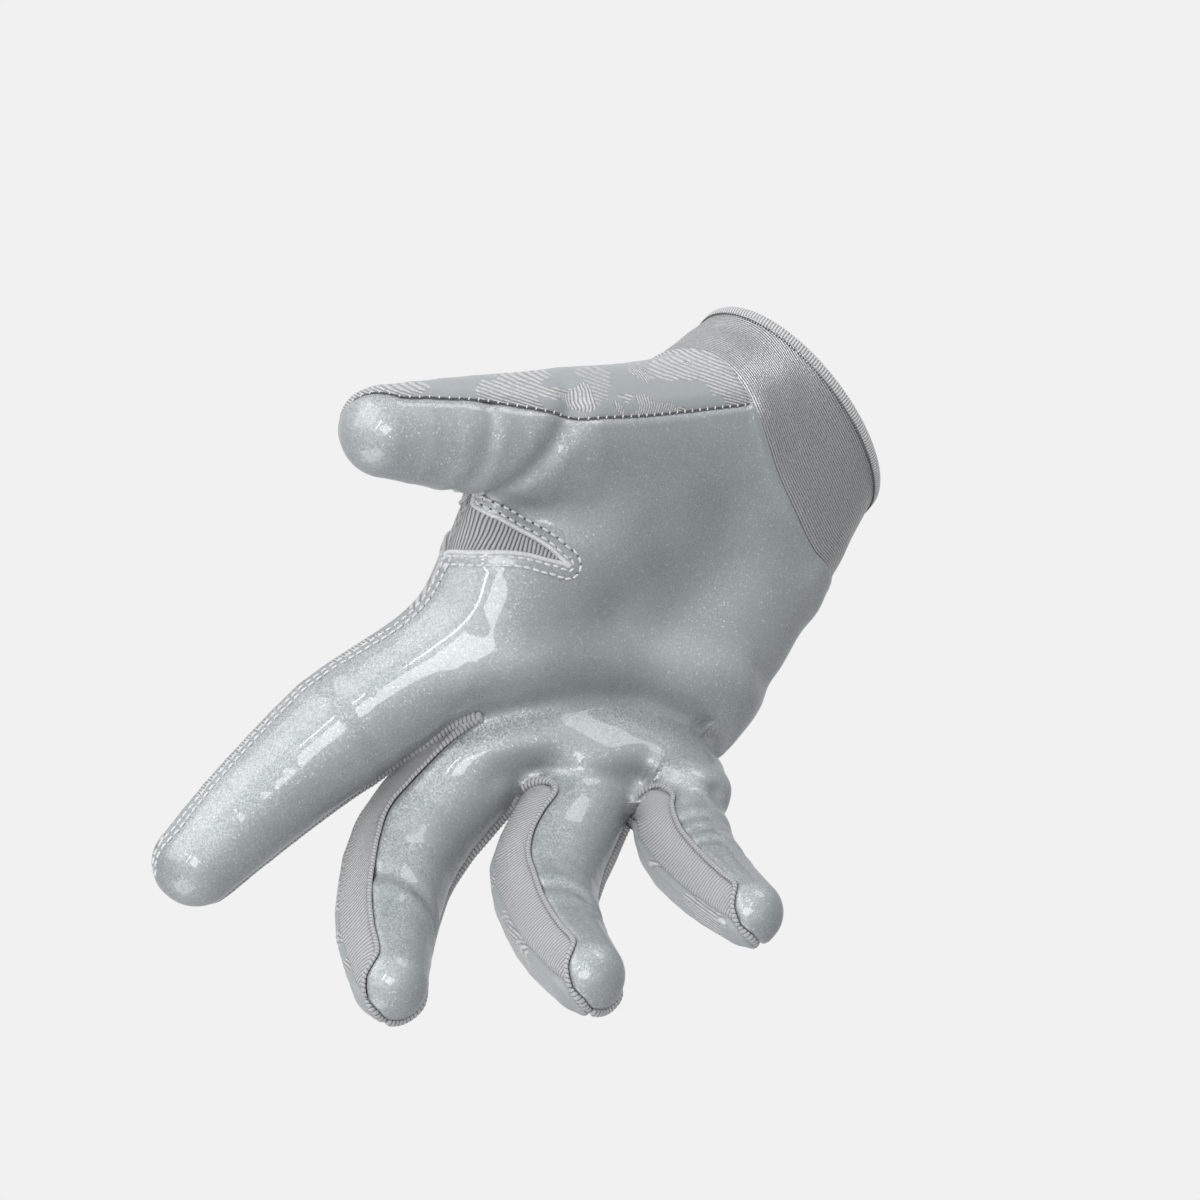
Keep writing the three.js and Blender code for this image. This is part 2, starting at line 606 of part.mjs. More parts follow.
// The palm sheet or the back: five strips to the web level, four to the split, then one on each digit
function makePanel(front, thickness) {
  const sheet = new Sheet(thickness);
  for (let strip = 0; strip < 5; strip += 1) {
    const last = strip === 0 ? PALM_ROWS : SPLIT_ROW;
    const lines = [strip, strip + 0.5, strip + 1];
    sheet.grid(stripRows(last, (row) => lines.map((line) => palmLinePoint(line, front, row))), !front);
  }
  for (let finger = 0; finger < 4; finger += 1) {
    const lines = [finger + 1, finger + 1.5, finger + 2];
    const rowAt = (row) => (row === 0
      ? lines.map((line) => splitPoint(line, front))
      : lines.map((line) => fingerLinePoint(line, finger, front, row)));
    sheet.grid(stripRows(DIGIT_ROWS + TIP_ROWS, rowAt), !front);
  }
  const thumbAt = (row) => [0, 0.5, 1].map((line) => thumbLinePoint(line, front, row));
  sheet.grid(stripRows(WEB_ROWS + THUMB_ROWS + TIP_ROWS, thumbAt), !front);
  return sheet.toGeometry();
}

// The knit strip between two fingers: down one side, through the crotch and up the other
function gussetRows(pair) {
  const rows = [];
  const side = (finger, line, row) => {
    const turn = line === finger + 1 ? -1 : 1;
    const start = turn < 0 ? CROTCHES[pair].second : CROTCHES[pair].first;
    const distance = rowDistance(FINGERS[finger], start, row, DIGIT_ROWS);
    return [
      fingerLinePoint(line, finger, true, row),
      aroundDigit(FINGERS[finger], distance, turn * GUSSET_END),
      fingerLinePoint(line, finger, false, row),
    ];
  };
  for (let row = GUSSET_ROWS; row >= 1; row -= 1) rows.push(side(pair, pair + 2, row));
  const crotch = CROTCHES[pair];
  rows.push([crotch.front, crotch.saddle, crotch.back]);
  for (let row = 1; row <= GUSSET_ROWS; row += 1) rows.push(side(pair + 1, pair + 2, row));
  return rows;
}

// Its first columns carry the rolled seam, raised along the palm sheet
function makeGusset(pair) {
  const sheet = new Sheet(KNIT_WALL, KNIT_GAP);
  const guesses = gussetRows(pair);
  const rows = guesses.map(([front, middle, back]) => {
    const points = [front, middle, back].map((guess) => ontoSkin(guess));
    const rollShare = ROLL_WIDTH / 2 / Math.max(points[0].distanceTo(points[2]), 2 * ROLL_WIDTH);
    const shares = [0, rollShare, 2 * rollShare];
    for (let column = 1; column < GUSSET_COLUMNS; column += 1) {
      shares.push(mix(2 * rollShare, 1, column / (GUSSET_COLUMNS - 1)));
    }
    return shares.map((share) => ontoSkin(arcPoint(front, middle, back, share)));
  });
  sheet.grid(rows, true);
  rows.slice(1, -1).forEach((row) => sheet.raise(row[1], ROLL_HEIGHT));
  return sheet.toGeometry();
}

// The knit wedge in the web: from its tip in the palm over the edge to its tip on the back
function makeWebGusset() {
  const sheet = new Sheet(KNIT_WALL, KNIT_GAP);
  const rows = [];
  for (let row = 0; row <= 2 * WEB_ROWS; row += 1) {
    const front = row <= WEB_ROWS;
    const share = webShare(front ? row : 2 * WEB_ROWS - row);
    const tip = levelPoint(1, front);
    const left = mixPoint(tip, WEB_CORNER_THUMB, share);
    const right = mixPoint(tip, WEB_CORNER_INDEX, share);
    const points = [];
    for (let column = 0; column <= GUSSET_COLUMNS; column += 1) {
      points.push(ontoSkin(mixPoint(left, right, column / GUSSET_COLUMNS)));
    }
    rows.push(points);
  }
  sheet.grid(rows, false);
  return sheet.toGeometry();
}

// The seam points round the wrist, the front from thumb to little finger and then the back
function wristSeam() {
  const seam = [];
  [true, false].forEach((front) => {
    for (let step = 0; step < 5; step += 1) {
      const strip = front ? step : 4 - step;
      const lines = [strip, strip + 0.5, strip + 1].map((line) => palmLinePoint(line, front, 0));
      for (let column = 0; column < STRIP_COLUMNS; column += 1) {
        const share = column / STRIP_COLUMNS;
        seam.push(ontoSkin(arcPoint(...lines, front ? share : 1 - share)));
      }
    }
  });
  return seam;
}

const WRIST_SEAM = wristSeam();
const CUFF_ROWS = 4;

// The rim of the cuff under its binding, level and square to the forearm
function cuffRim(height) {
  return WRIST_SEAM.map((point) => ontoSkin(new THREE.Vector3(point.x, point.y, -height), true));
}

function makeCuff() {
  const sheet = new Sheet(KNIT_WALL);
  const rim = cuffRim(BINDING_HEIGHT);
  const rows = [];
  for (let row = 0; row <= CUFF_ROWS; row += 1) {
    const share = row / CUFF_ROWS;
    const points = WRIST_SEAM.map((point, i) => {
      if (row === 0) return point;
      if (row === CUFF_ROWS) return rim[i];
      const guess = mixPoint(point, rim[i], share);
      return ontoSkin(guess, true);
    });
    rows.push([...points, points[0]]);
  }
  sheet.grid(rows, true);
  return sheet.toGeometry();
}

// The oversewn binding: a ring of rounded section above the cuff's edge
const BINDING_SECTION = [
  [0, 0], [0.14, 0.75], [0.5, 1], [0.86, 0.75], [1, 0], [0.86, -0.75], [0.5, -1], [0.14, -0.75],
];
function makeBinding() {
  const rim = cuffRim(BINDING_HEIGHT / 2);
  const bottom = -BINDING_HEIGHT + SEAM_GAP / 2;
  const halfWall = KNIT_WALL / 2 + BINDING_PROUD;
  const points = [];
  rim.forEach((point) => {
    const slope = skinSlope(point).setZ(0).normalize();
    const centre = point.clone().addScaledVector(slope, -KNIT_WALL / 2);
    BINDING_SECTION.forEach(([up, side]) => {
      const corner = centre.clone().addScaledVector(slope, side * halfWall);
      corner.z = mix(bottom, 0, up);
      points.push(corner);
    });
  });
  const around = rim.length;
  const ring = BINDING_SECTION.length;
  const faces = [];
  for (let i = 0; i < around; i += 1) {
    const j = (i + 1) % around;
    for (let s = 0; s < ring; s += 1) {
      const t = (s + 1) % ring;
      faces.push([i * ring + s, j * ring + s, i * ring + t]);
      faces.push([j * ring + s, j * ring + t, i * ring + t]);
    }
  }
  return toBuffer(points, faces);
}

// Finishes
const SILICONE = new THREE.MeshStandardMaterial({ color: 0xa3acae, roughness: 0.22, metalness: 0.1 });
const JACQUARD = new THREE.MeshStandardMaterial({ color: 0x9a9fa0, roughness: 0.6, metalness: 0 });
const KNIT = new THREE.MeshStandardMaterial({ color: 0xa9adae, roughness: 0.55, metalness: 0 });
const SATIN = new THREE.MeshStandardMaterial({ color: 0xa0a4a5, roughness: 0.45, metalness: 0 });
const THREAD = new THREE.MeshStandardMaterial({ color: 0x8d9294, roughness: 0.6, metalness: 0 });

const glove = new THREE.Group();

function place(name, geometry, material) {
  const mesh = new THREE.Mesh(geometry, material);
  mesh.name = name;
  glove.add(mesh);
}

place("palm_skin", makePanel(true, PALM_WALL), SILICONE);
place("back_panel", makePanel(false, BACK_WALL), JACQUARD);
["index_middle", "middle_ring", "ring_little"].forEach((name, pair) => {
  place(`gusset_${name}`, makeGusset(pair), KNIT);
});
place("web_gusset", makeWebGusset(), KNIT);
place("cuff", makeCuff(), SATIN);
place("cuff_binding", makeBinding(), THREAD);

export default glove;
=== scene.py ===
"""A football receiver glove, dressed for its render.

The panels come from the same named sizes and the same distance field as the CAD source, at finer rows
and columns. Lengths in this file are millimetres until a mesh is made.
"""

import math

import bpy
import numpy as np
from mathutils import Matrix, Vector, kdtree


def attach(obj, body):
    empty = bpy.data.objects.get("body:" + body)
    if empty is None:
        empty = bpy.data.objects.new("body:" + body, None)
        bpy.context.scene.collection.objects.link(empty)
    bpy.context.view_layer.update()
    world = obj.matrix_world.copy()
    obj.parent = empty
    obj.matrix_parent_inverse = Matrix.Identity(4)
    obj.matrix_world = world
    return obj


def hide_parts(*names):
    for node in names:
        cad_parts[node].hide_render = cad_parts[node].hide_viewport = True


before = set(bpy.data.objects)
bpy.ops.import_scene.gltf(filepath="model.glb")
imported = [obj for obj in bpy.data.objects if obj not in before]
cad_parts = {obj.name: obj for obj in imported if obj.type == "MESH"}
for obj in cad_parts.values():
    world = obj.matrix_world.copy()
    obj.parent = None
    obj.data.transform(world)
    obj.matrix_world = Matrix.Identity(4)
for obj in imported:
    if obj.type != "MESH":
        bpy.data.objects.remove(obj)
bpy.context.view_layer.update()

# ---- sizes shared with the CAD source
PALM_WALL = 1.6
BACK_WALL = 1.4
KNIT_WALL = 1.2
CUFF_WIDTH = 59
CUFF_DEPTH = 45
CUFF_HEIGHT = 23.5
CUFF_FLARE = 2
BINDING_HEIGHT = 3
BINDING_PROUD = 0.6
WRIST_JOINT_DEPTH = 9
WRIST_TURN = 9.5
PALM_LENGTH = 82
PALM_WIDTH = 58
PALM_THICKNESS = 26
THENAR_RADIUS = 15
HYPOTHENAR_RADIUS = 12.5
ADDUCTOR_RADIUS = 11
WEB_RADIUS = 6
DIGITS = [
    dict(name="thumb", length=89.5, radius=14, root=(0.15, -0.35, 0.32), bones=(0.48, 0.32, 0.2),
         radii=(0.98, 1.08, 0.9, 0.72), spread=-43.5, flex=(0, -10, -3), twist=-35),
    dict(name="index", length=86, radius=12.6, root=(1, -0.54, -0.07), bones=(0.5, 0.315, 0.185),
         radii=(0.98, 1.06, 0.88, 0.74), spread=-6.7, flex=(-24, 13, 6), twist=-4),
    dict(name="middle", length=93, radius=12, root=(1.034, -0.17, -0.11), bones=(0.5, 0.31, 0.2),
         radii=(0.98, 1.05, 0.9, 0.68), spread=-2.3, flex=(-10, 45, 16), twist=5),
    dict(name="ring", length=91.5, radius=11.6, root=(0.966, 0.177, 0.04), bones=(0.515, 0.295, 0.215),
         radii=(0.98, 1.04, 0.84, 0.7), spread=-3.8, flex=(19, 37, 11), twist=7),
    dict(name="little", length=77.5, radius=10.6, root=(0.852, 0.405, 0.16), bones=(0.5, 0.276, 0.224),
         radii=(0.98, 1, 0.84, 0.7), spread=2.4, flex=(42, 24, 6), twist=6),
]

# Rows and columns of the CAD grids, and how much finer each is here
STRIP_COLUMNS = 5
PALM_ROWS = 7
WEB_ROWS = 5
KNUCKLE_ROWS = 4
DIGIT_ROWS = 9
TIP_ROWS = 3
THUMB_ROWS = 4
GUSSET_ROWS = DIGIT_ROWS + 2
SPLIT_ROW = PALM_ROWS + WEB_ROWS + KNUCKLE_ROWS
FINE = 6
LINING = 2
SPLIT_STEP = 3.5
BACK_SETBACK = 4
CROTCH_DEPTH = 0.72
FRONT_SETBACKS = (0.2, 0.03, 0.03)
GUSSET_CORNER = 60
GUSSET_FRONT = 72
GUSSET_BACK = 128
GUSSET_END = 98
INDEX_SIDE = 110
LITTLE_SIDE = 110
THUMB_TOP = (50, 55, 72, 88)
THUMB_SIDE = 98
THUMB_PAD = 15
THUMB_TIP_PAD = 4
THUMB_BACK = -148
THUMB_TIP_BACK = -178
OUTER_TIP = 95

rng = np.random.default_rng(7)


def mix(a, b, share):
    return a + (b - a) * share


def unit(vectors):
    vectors = np.asarray(vectors, float)
    return vectors / np.maximum(np.linalg.norm(vectors, axis=-1, keepdims=True), 1e-9)


def turned(vector, axis, angle):
    """The vector turned about an axis, by an angle in degrees."""
    c, s = math.cos(math.radians(angle)), math.sin(math.radians(angle))
    return vector * c + np.cross(axis, vector) * s + axis * (axis @ vector) * (1 - c)


WRIST = np.array([0.0, 0.0, -WRIST_JOINT_DEPTH])
ALONG = np.array([math.sin(math.radians(WRIST_TURN)), 0, -math.cos(math.radians(WRIST_TURN))])
ACROSS = np.array([math.cos(math.radians(WRIST_TURN)), 0, math.sin(math.radians(WRIST_TURN))])
OUT = np.array([0.0, -1.0, 0.0])


def palm_point(shares):
    along, across, out = shares
    return WRIST + ALONG * along * PALM_LENGTH + ACROSS * across * PALM_WIDTH + OUT * out * PALM_THICKNESS


# Joints are rounded off over this share of the radius, and places past the tip centre lean to the back
JOINT_REACH = 0.9
TIP_LEAN = 0.6


class Chain:
    """The joints of a digit, with the directions along, across and out of the pad of each bone."""

    def __init__(self, digit):
        along = turned(ALONG, OUT, digit["spread"])
        across = turned(turned(ACROSS, OUT, digit["spread"]), along, digit["twist"])
        out = turned(OUT, along, digit["twist"])
        self.joints = [palm_point(digit["root"])]
        self.frames = []
        self.starts = [0.0]
        self.radii = [share * digit["radius"] for share in digit["radii"]]
        for share, flex in zip(digit["bones"], digit["flex"]):
            along = turned(along, across, -flex)
            out = turned(out, across, -flex)
            self.frames.append((along, across, out))
            bone = share * digit["length"]
            self.joints.append(self.joints[-1] + along * bone)
            self.starts.append(self.starts[-1] + bone)
        self.length = self.starts[-1]

    def station(self, distance):
        """Centre, out, across and radius at a distance from the root."""
        inside = min(distance, self.length)
        past = distance - inside
        bone = 0
        while bone < 2 and inside > self.starts[bone + 1]:
            bone += 1
        start, end = self.starts[bone], self.starts[bone + 1]
        share = (inside - start) / (end - start)
        along, across, out = self.frames[bone]
        centre = mix(self.joints[bone], self.joints[bone + 1], share) + along * past
        radius = mix(self.radii[bone], self.radii[bone + 1], share)
        early = share < 0.5
        other = bone - 1 if early else bone + 1
        if 0 <= other < 3:
            away = inside - start if early else end - inside
            reach = JOINT_REACH * self.radii[bone if early else bone + 1]
            near = max(0.0, 1 - away / reach)
            bend = (self.frames[other][0] - along) * (-1 if early else 1)
            out = unit(mix(out, self.frames[other][2], near / 2))
            centre = centre + bend * near * near * reach / 4
        centre = centre - out * TIP_LEAN * past
        return centre, out, across, math.sqrt(max(0.0, radius * radius - past * past))

    def beside(self, distance, angle):
        centre, out, across, radius = self.station(distance)
        turn = math.radians(angle)
        return centre + out * radius * math.cos(turn) + across * radius * math.sin(turn)


CHAINS = [Chain(digit) for digit in DIGITS]
THUMB, FINGERS = CHAINS[0], CHAINS[1:]


# ---- the skin's distance field
def bar(start, end, start_radius, end_radius):
    axis = end - start
    return start, axis, axis @ axis, start_radius, end_radius


def bar_distance(the_bar, x, y, z):
    start, axis, square, r0, r1 = the_bar
    px, py, pz = x - start[0], y - start[1], z - start[2]
    share = np.clip((px * axis[0] + py * axis[1] + pz * axis[2]) / square, 0, 1)
    px, py, pz = px - share * axis[0], py - share * axis[1], pz - share * axis[2]
    return np.sqrt(px * px + py * py + pz * pz) - (r0 + (r1 - r0) * share)


def soft_min(a, b, fillet):
    near = np.maximum(fillet - np.abs(a - b), 0) / fillet
    return np.minimum(a, b) - near**3 * fillet / 6


def soft_union(bars, fillet, x, y, z):
    best = np.full_like(x, 1e3)
    for each in bars:
        best = soft_min(best, bar_distance(each, x, y, z), fillet)
    return best


def sharp_union(bars, x, y, z):
    best = np.full_like(x, 1e3)
    for each in bars:
        best = np.minimum(best, bar_distance(each, x, y, z))
    return best


DIGIT_BARS = 12


def chain_bars(chain):
    """A digit as a row of short bars along its rounded middle line."""
    stops = [chain.station(i / DIGIT_BARS * chain.length) for i in range(DIGIT_BARS + 1)]
    return [bar(first[0], last[0], first[3], last[3]) for first, last in zip(stops, stops[1:])]


HEEL = [(0.06, -0.24, 0.02), (0.03, -0.09, 0), (0.03, 0.1, 0), (0.06, 0.2, 0.06)]
METACARPAL_RADIUS = PALM_THICKNESS / 2
PALM_BARS = [
    bar(palm_point(HEEL[i]), chain.joints[0], METACARPAL_RADIUS * 1.12, chain.radii[0])
    for i, chain in enumerate(FINGERS)
]
WEBBING_RADIUS = 10
WEBBING_REACH = 0.14
for first, second in zip(FINGERS, FINGERS[1:]):
    ends = [mix(first.station(share * first.length)[0], second.station(share * second.length)[0], 0.5)
            for share in (0, WEBBING_REACH)]
    PALM_BARS.append(bar(*ends, WEBBING_RADIUS, WEBBING_RADIUS * 0.9))
PALM_BARS += [
    bar(palm_point((0.2, 0.27, 0.12)), palm_point((0.66, 0.38, 0.14)), HYPOTHENAR_RADIUS, HYPOTHENAR_RADIUS * 0.88),
    bar(palm_point((0.12, -0.26, 0.14)), palm_point((0.5, -0.6, 0.2)), THENAR_RADIUS, THENAR_RADIUS * 0.86),
    bar(palm_point((0.42, -0.36, 0.08)), palm_point((0.88, -0.64, 0)), ADDUCTOR_RADIUS, ADDUCTOR_RADIUS * 0.9),
]
WEB = bar(palm_point((0.7, -0.97, 0.02)), palm_point((1.04, -0.66, -0.2)), WEB_RADIUS, WEB_RADIUS)
CUFF_OVAL = CUFF_DEPTH / CUFF_WIDTH
CUFF_BAR = bar(
    np.array([0, 0, CUFF_DEPTH / 2]), np.array([0, 0, -CUFF_HEIGHT]), CUFF_DEPTH / 2, CUFF_DEPTH / 2 + CUFF_FLARE / 2)
FINGER_BARS = [chain_bars(chain) for chain in FINGERS]
THUMB_BARS = chain_bars(THUMB)
FINGER_FILLET, PALM_FILLET, KNUCKLE_FILLET, THUMB_FILLET, WRIST_FILLET = 2, 20, 6, 14, 8

FOLDS = [
    dict(start=(1.25, -0.38), end=(0.84, 0.5), bow=-0.1, width=0.05, height=-0.125),
    dict(start=(1.2, -0.56), end=(0.7, 0.34), bow=-0.07, width=0.08, height=0.09),
    dict(start=(1.38, -0.42), end=(0.97, 0.42), bow=-0.05, width=0.055, height=0.07),
    dict(start=(1.34, -0.2), end=(1.04, 0.36), bow=-0.02, width=0.035, height=-0.035),
    dict(start=(0.84, 0.34), end=(0.9, 0.62), bow=0, width=0.026, height=-0.035),
    dict(start=(0.93, 0.36), end=(0.96, 0.6), bow=0, width=0.02, height=-0.02),
    dict(start=(1.04, 0.36), end=(1.06, 0.58), bow=0, width=0.024, height=-0.03),
    dict(start=(0.52, -1.06), end=(0.82, -1.0), bow=0, width=0.035, height=-0.07),
    dict(start=(0.3, 0.36), end=(0.34, 0.62), bow=0, width=0.06, height=0.05),
    dict(start=(0.5, 0.66), end=(0.62, 0.4), bow=-0.03, width=0.04, height=-0.025),
]


def fold_height(folds, x, y, z):
    """Heights of folds: each a bell across a bowed line drawn on the palm, faded out on the back."""
    along = (x - WRIST[0]) * ALONG[0] + (z - WRIST[2]) * ALONG[2]
    across = (x - WRIST[0]) * ACROSS[0] + (z - WRIST[2]) * ACROSS[2]
    height = np.zeros_like(x)
    for fold in folds:
        x0, y0 = fold["start"][0] * PALM_LENGTH, fold["start"][1] * PALM_WIDTH
        run_x, run_y = fold["end"][0] * PALM_LENGTH - x0, fold["end"][1] * PALM_WIDTH - y0
        run = math.hypot(run_x, run_y)
        px, py = along - x0, across - y0
        share = (px * run_x + py * run_y) / (run * run)
        beside = (px * run_y - py * run_x) / run - fold["bow"] * PALM_LENGTH * 4 * share * (1 - share)
        past = np.maximum(np.maximum(-share, share - 1), 0) * run
        reach = (beside**2 + past**2) / (fold["width"] * PALM_LENGTH) ** 2
        height += fold["height"] * PALM_THICKNESS * np.exp(-reach)
    return height * np.clip(0.5 - y / PALM_THICKNESS, 0, 1)


def skin_distance(p):
    """Distance of points to the glove's outer surface, below zero inside."""
    x, y, z = p[..., 0], p[..., 1], p[..., 2]
    fingers = np.full_like(x, 1e3)
    for bars in FINGER_BARS:
        fingers = soft_min(fingers, sharp_union(bars, x, y, z), FINGER_FILLET)
    palm = soft_union(PALM_BARS, PALM_FILLET, x, y, z)
    thumb = soft_min(sharp_union(THUMB_BARS, x, y, z), bar_distance(WEB, x, y, z), KNUCKLE_FILLET)
    wrist = bar_distance(CUFF_BAR, x * CUFF_OVAL, y, z)
    hand = soft_min(soft_min(palm, fingers, KNUCKLE_FILLET), thumb, THUMB_FILLET)
    return soft_min(hand, wrist, WRIST_FILLET) - fold_height(FOLDS, x, y, z)


def skin_slope(p):
    """Distance and its slope, by small steps along the three axes."""
    step = 0.04
    here = skin_distance(p)
    slope = np.stack([(skin_distance(p + np.eye(3)[i] * step) - here) / step for i in range(3)], axis=-1)
    return here, slope


def onto_skin(p, rounds=12, flat=False):
    p = np.array(p, float)
    for _ in range(rounds):
        here, slope = skin_slope(p)
        if flat:
            slope[..., 2] = 0
        p -= slope * (here / np.maximum((slope**2).sum(-1), 0.2))[..., None]
    return p


# ---- seam lines, as in the CAD source
FRONT_SEAM = [(-45, 1.06), (-32, 1.1), (-18, 1.16), (-7, 1.2), (5, 1.22), (18, 1.22), (32, 1.2), (48, 1.18),
              (66, 1.16), (88, 1.14), (112, 1.1)]
BACK_SEAM = [(315, 1.06), (278, 0.98), (246, 0.98), (228, 1), (212, 1), (198, 1), (184, 1), (170, 1),
             (155, 1.02), (135, 1.05), (112, 1.1)]
FRONT_LEVEL = {1: (0.82, -0.6, 0.5), 1.5: (0.82, -0.47, 0.55), 2: (0.82, -0.34, 0.55), 2.5: (0.8, -0.16, 0.55),
               3: (0.78, 0.02, 0.55), 3.5: (0.75, 0.2, 0.55), 4: (0.72, 0.36, 0.55), 4.5: (0.69, 0.54, 0.55),
               5: (0.66, 0.74, 0.05)}
BACK_LEVEL = {1: (0.78, -0.72, -0.4), 1.5: (0.8, -0.5, -0.55), 2: (0.82, -0.34, -0.55), 2.5: (0.8, -0.16, -0.55),
              3: (0.78, 0.02, -0.55), 3.5: (0.75, 0.2, -0.55), 4: (0.72, 0.36, -0.5), 4.5: (0.69, 0.54, -0.4),
              5: (0.66, 0.74, 0.05)}
WEB_CORNER_THUMB = palm_point((0.85, -1.04, -0.1))
WEB_CORNER_INDEX = palm_point((1.0, -0.98, -0.25))
THUMB_LEVEL_STATION = 0.54 * THUMB.length
THUMB_WEB_STATION = 0.76 * THUMB.length


def cuff_point(seam):
    angle, height = seam
    turn = math.radians(angle)
    return np.array([CUFF_WIDTH / 2 * math.sin(turn), -CUFF_DEPTH / 2 * math.cos(turn), -height * CUFF_HEIGHT])


def find_crotch(first, second, setback):
    """Where two neighbouring fingers part: the middle line between them leaves the skin."""
    level = [(chain.joints[0] - WRIST) @ ALONG for chain in (first, second)]
    shift = [max(level) - each for each in level]

    def middle(t):
        return mix(first.station(t + shift[0])[0], second.station(t + shift[1])[0], 0.5)

    inside, outside = 0.0, 0.7 * min(first.length, second.length)
    for _ in range(40):
        t = (inside + outside) / 2
        if skin_distance(middle(t)) < 0:
            inside = t
        else:
            outside = t
    out = unit(mix(first.station(inside)[1], second.station(inside)[1], 0.5))
    depth = CROTCH_DEPTH * min(first.radii[0], second.radii[0])
    return dict(first=inside + shift[0], second=inside + shift[1], setback=setback, saddle=middle(inside),
                front=middle(inside - setback) + out * depth, back=middle(inside - BACK_SETBACK) - out * depth)


CROTCHES = [find_crotch(FINGERS[i], FINGERS[i + 1], FRONT_SETBACKS[i] * FINGERS[i].length) for i in range(3)]


def row_start(finger, side, front):
    pair = finger - 1 if side < 0 else finger
    if pair < 0:
        return CROTCHES[0]["first"]
    if pair > 2:
        return CROTCHES[2]["second"]
    crotch = CROTCHES[pair]
    return crotch["second" if side < 0 else "first"] - (crotch["setback"] if front else BACK_SETBACK)


def row_distance(chain, start, row, rows):
    if row == 0:
        return start
    if row <= rows:
        return mix(start + SPLIT_STEP, chain.length, (row - 1) / (rows - 1))
    return chain.length + chain.radii[3] * math.sin((row - rows) / TIP_ROWS * math.pi / 2)


def finger_seam_angle(finger, side, front, row):
    tip = max(0.0, (row - DIGIT_ROWS) / TIP_ROWS)
    if finger == 0 and side < 0:
        return side * mix(INDEX_SIDE, OUTER_TIP, tip)
    if finger == 3 and side > 0:
        return side * mix(LITTLE_SIDE, OUTER_TIP, tip)
    angle = mix(GUSSET_CORNER, GUSSET_FRONT, min(1, row / 4)) if front else GUSSET_BACK
    taper = min(1, max(0, (row - DIGIT_ROWS) / (GUSSET_ROWS - DIGIT_ROWS)))
    return side * mix(angle, GUSSET_END, taper)


def finger_line_point(line, finger, front, row):
    chain = FINGERS[finger]
    place = line - 1 - finger
    start = mix(row_start(finger, -1, front), row_start(finger, 1, front), place)
    distance = row_distance(chain, start, row, DIGIT_ROWS)
    if place == 0.5:
        return chain.beside(distance, 0 if front else 180)
    return chain.beside(distance, finger_seam_angle(finger, -1 if place == 0 else 1, front, row))


def split_point(line, front):
    if line in (2, 3, 4):
        return CROTCHES[int(line) - 2]["front" if front else "back"]
    return finger_line_point(line, min(3, int(line) - 1), front, 0)


def level_point(line, front):
    if line == 0:
        return THUMB.beside(THUMB_LEVEL_STATION, -THUMB_TOP[1])
    if line == 0.5:
        return THUMB.beside(THUMB_LEVEL_STATION, THUMB_PAD if front else THUMB_BACK)
    return palm_point((FRONT_LEVEL if front else BACK_LEVEL)[line])


def web_share(row):
    return math.sin(row / WEB_ROWS * math.pi / 2)


def palm_line_point(line, front, row):
    if row <= PALM_ROWS:
        seam = cuff_point((FRONT_SEAM if front else BACK_SEAM)[int(line * 2)])
        share = row / PALM_ROWS
        if line < 1 and row > 0:
            side = THUMB_PAD if front else THUMB_BACK
            angle = -mix(THUMB_TOP[0], THUMB_TOP[1], share) if line == 0 else side
            near = THUMB.beside(share * THUMB_LEVEL_STATION, angle)
            return mix(seam, near, min(1, 1.6 * share))
        return mix(seam, level_point(line, front), share)
    if line == 1:
        web_row = row - PALM_ROWS
        if web_row <= WEB_ROWS:
            return mix(level_point(1, front), WEB_CORNER_INDEX, web_share(web_row))
        return mix(WEB_CORNER_INDEX, split_point(1, front), (web_row - WEB_ROWS) / KNUCKLE_ROWS)
    return mix(level_point(line, front), split_point(line, front), (row - PALM_ROWS) / (SPLIT_ROW - PALM_ROWS))


def thumb_line_point(line, front, row):
    side = THUMB_PAD if front else THUMB_BACK
    if row <= WEB_ROWS:
        share = row / WEB_ROWS
        distance = mix(THUMB_LEVEL_STATION, THUMB_WEB_STATION, share)
        if line == 0:
            return THUMB.beside(distance, -mix(THUMB_TOP[1], THUMB_TOP[2], share))
        if line == 0.5:
            return THUMB.beside(distance, side)
        return mix(level_point(1, front), WEB_CORNER_THUMB, web_share(row))
    rest = row - WEB_ROWS
    distance = row_distance(THUMB, THUMB_WEB_STATION, rest, THUMB_ROWS)
    share = min(1, rest / THUMB_ROWS)
    if line == 0:
        return THUMB.beside(distance, -mix(THUMB_TOP[2], THUMB_TOP[3], share))
    if line == 0.5:
        return THUMB.beside(distance, mix(side, THUMB_TIP_PAD if front else THUMB_TIP_BACK, share))
    return THUMB.beside(distance, mix(THUMB_SIDE, 90, share))


def arc(left, middle, right, shares):
    """Points of the curve through three points, the middle one at half way."""
    t = np.asarray(shares)[:, None]
    control = 2 * middle - 0.5 * left - 0.5 * right
    return left * (1 - t) ** 2 + control * 2 * t * (1 - t) + right * t**2


# ---- grids
def refine(grid, times, axis=0, closed=False):
    """More points along one axis, on smooth curves through the given ones."""
    grid = np.moveaxis(np.asarray(grid, float), axis, 0)
    count = len(grid)
    if closed:
        padded = np.concatenate([grid[-1:], grid, grid[:2]])
        spans = count
    else:
        padded = np.concatenate([2 * grid[:1] - grid[1:2], grid, 2 * grid[-1:] - grid[-2:-1]])
        spans = count - 1
    at = np.arange(spans * times + (0 if closed else 1)) / times
    base = np.minimum(at.astype(int), spans - 1)
    t = (at - base).reshape(-1, *[1] * (grid.ndim - 1))
    p0, p1, p2, p3 = (padded[base + k] for k in range(4))
    fine = 0.5 * (2 * p1 + (p2 - p0) * t + (2 * p0 - 5 * p1 + 4 * p2 - p3) * t**2
                  + (3 * p1 - p0 - 3 * p2 + p3) * t**3)
    return np.moveaxis(fine, 0, axis)


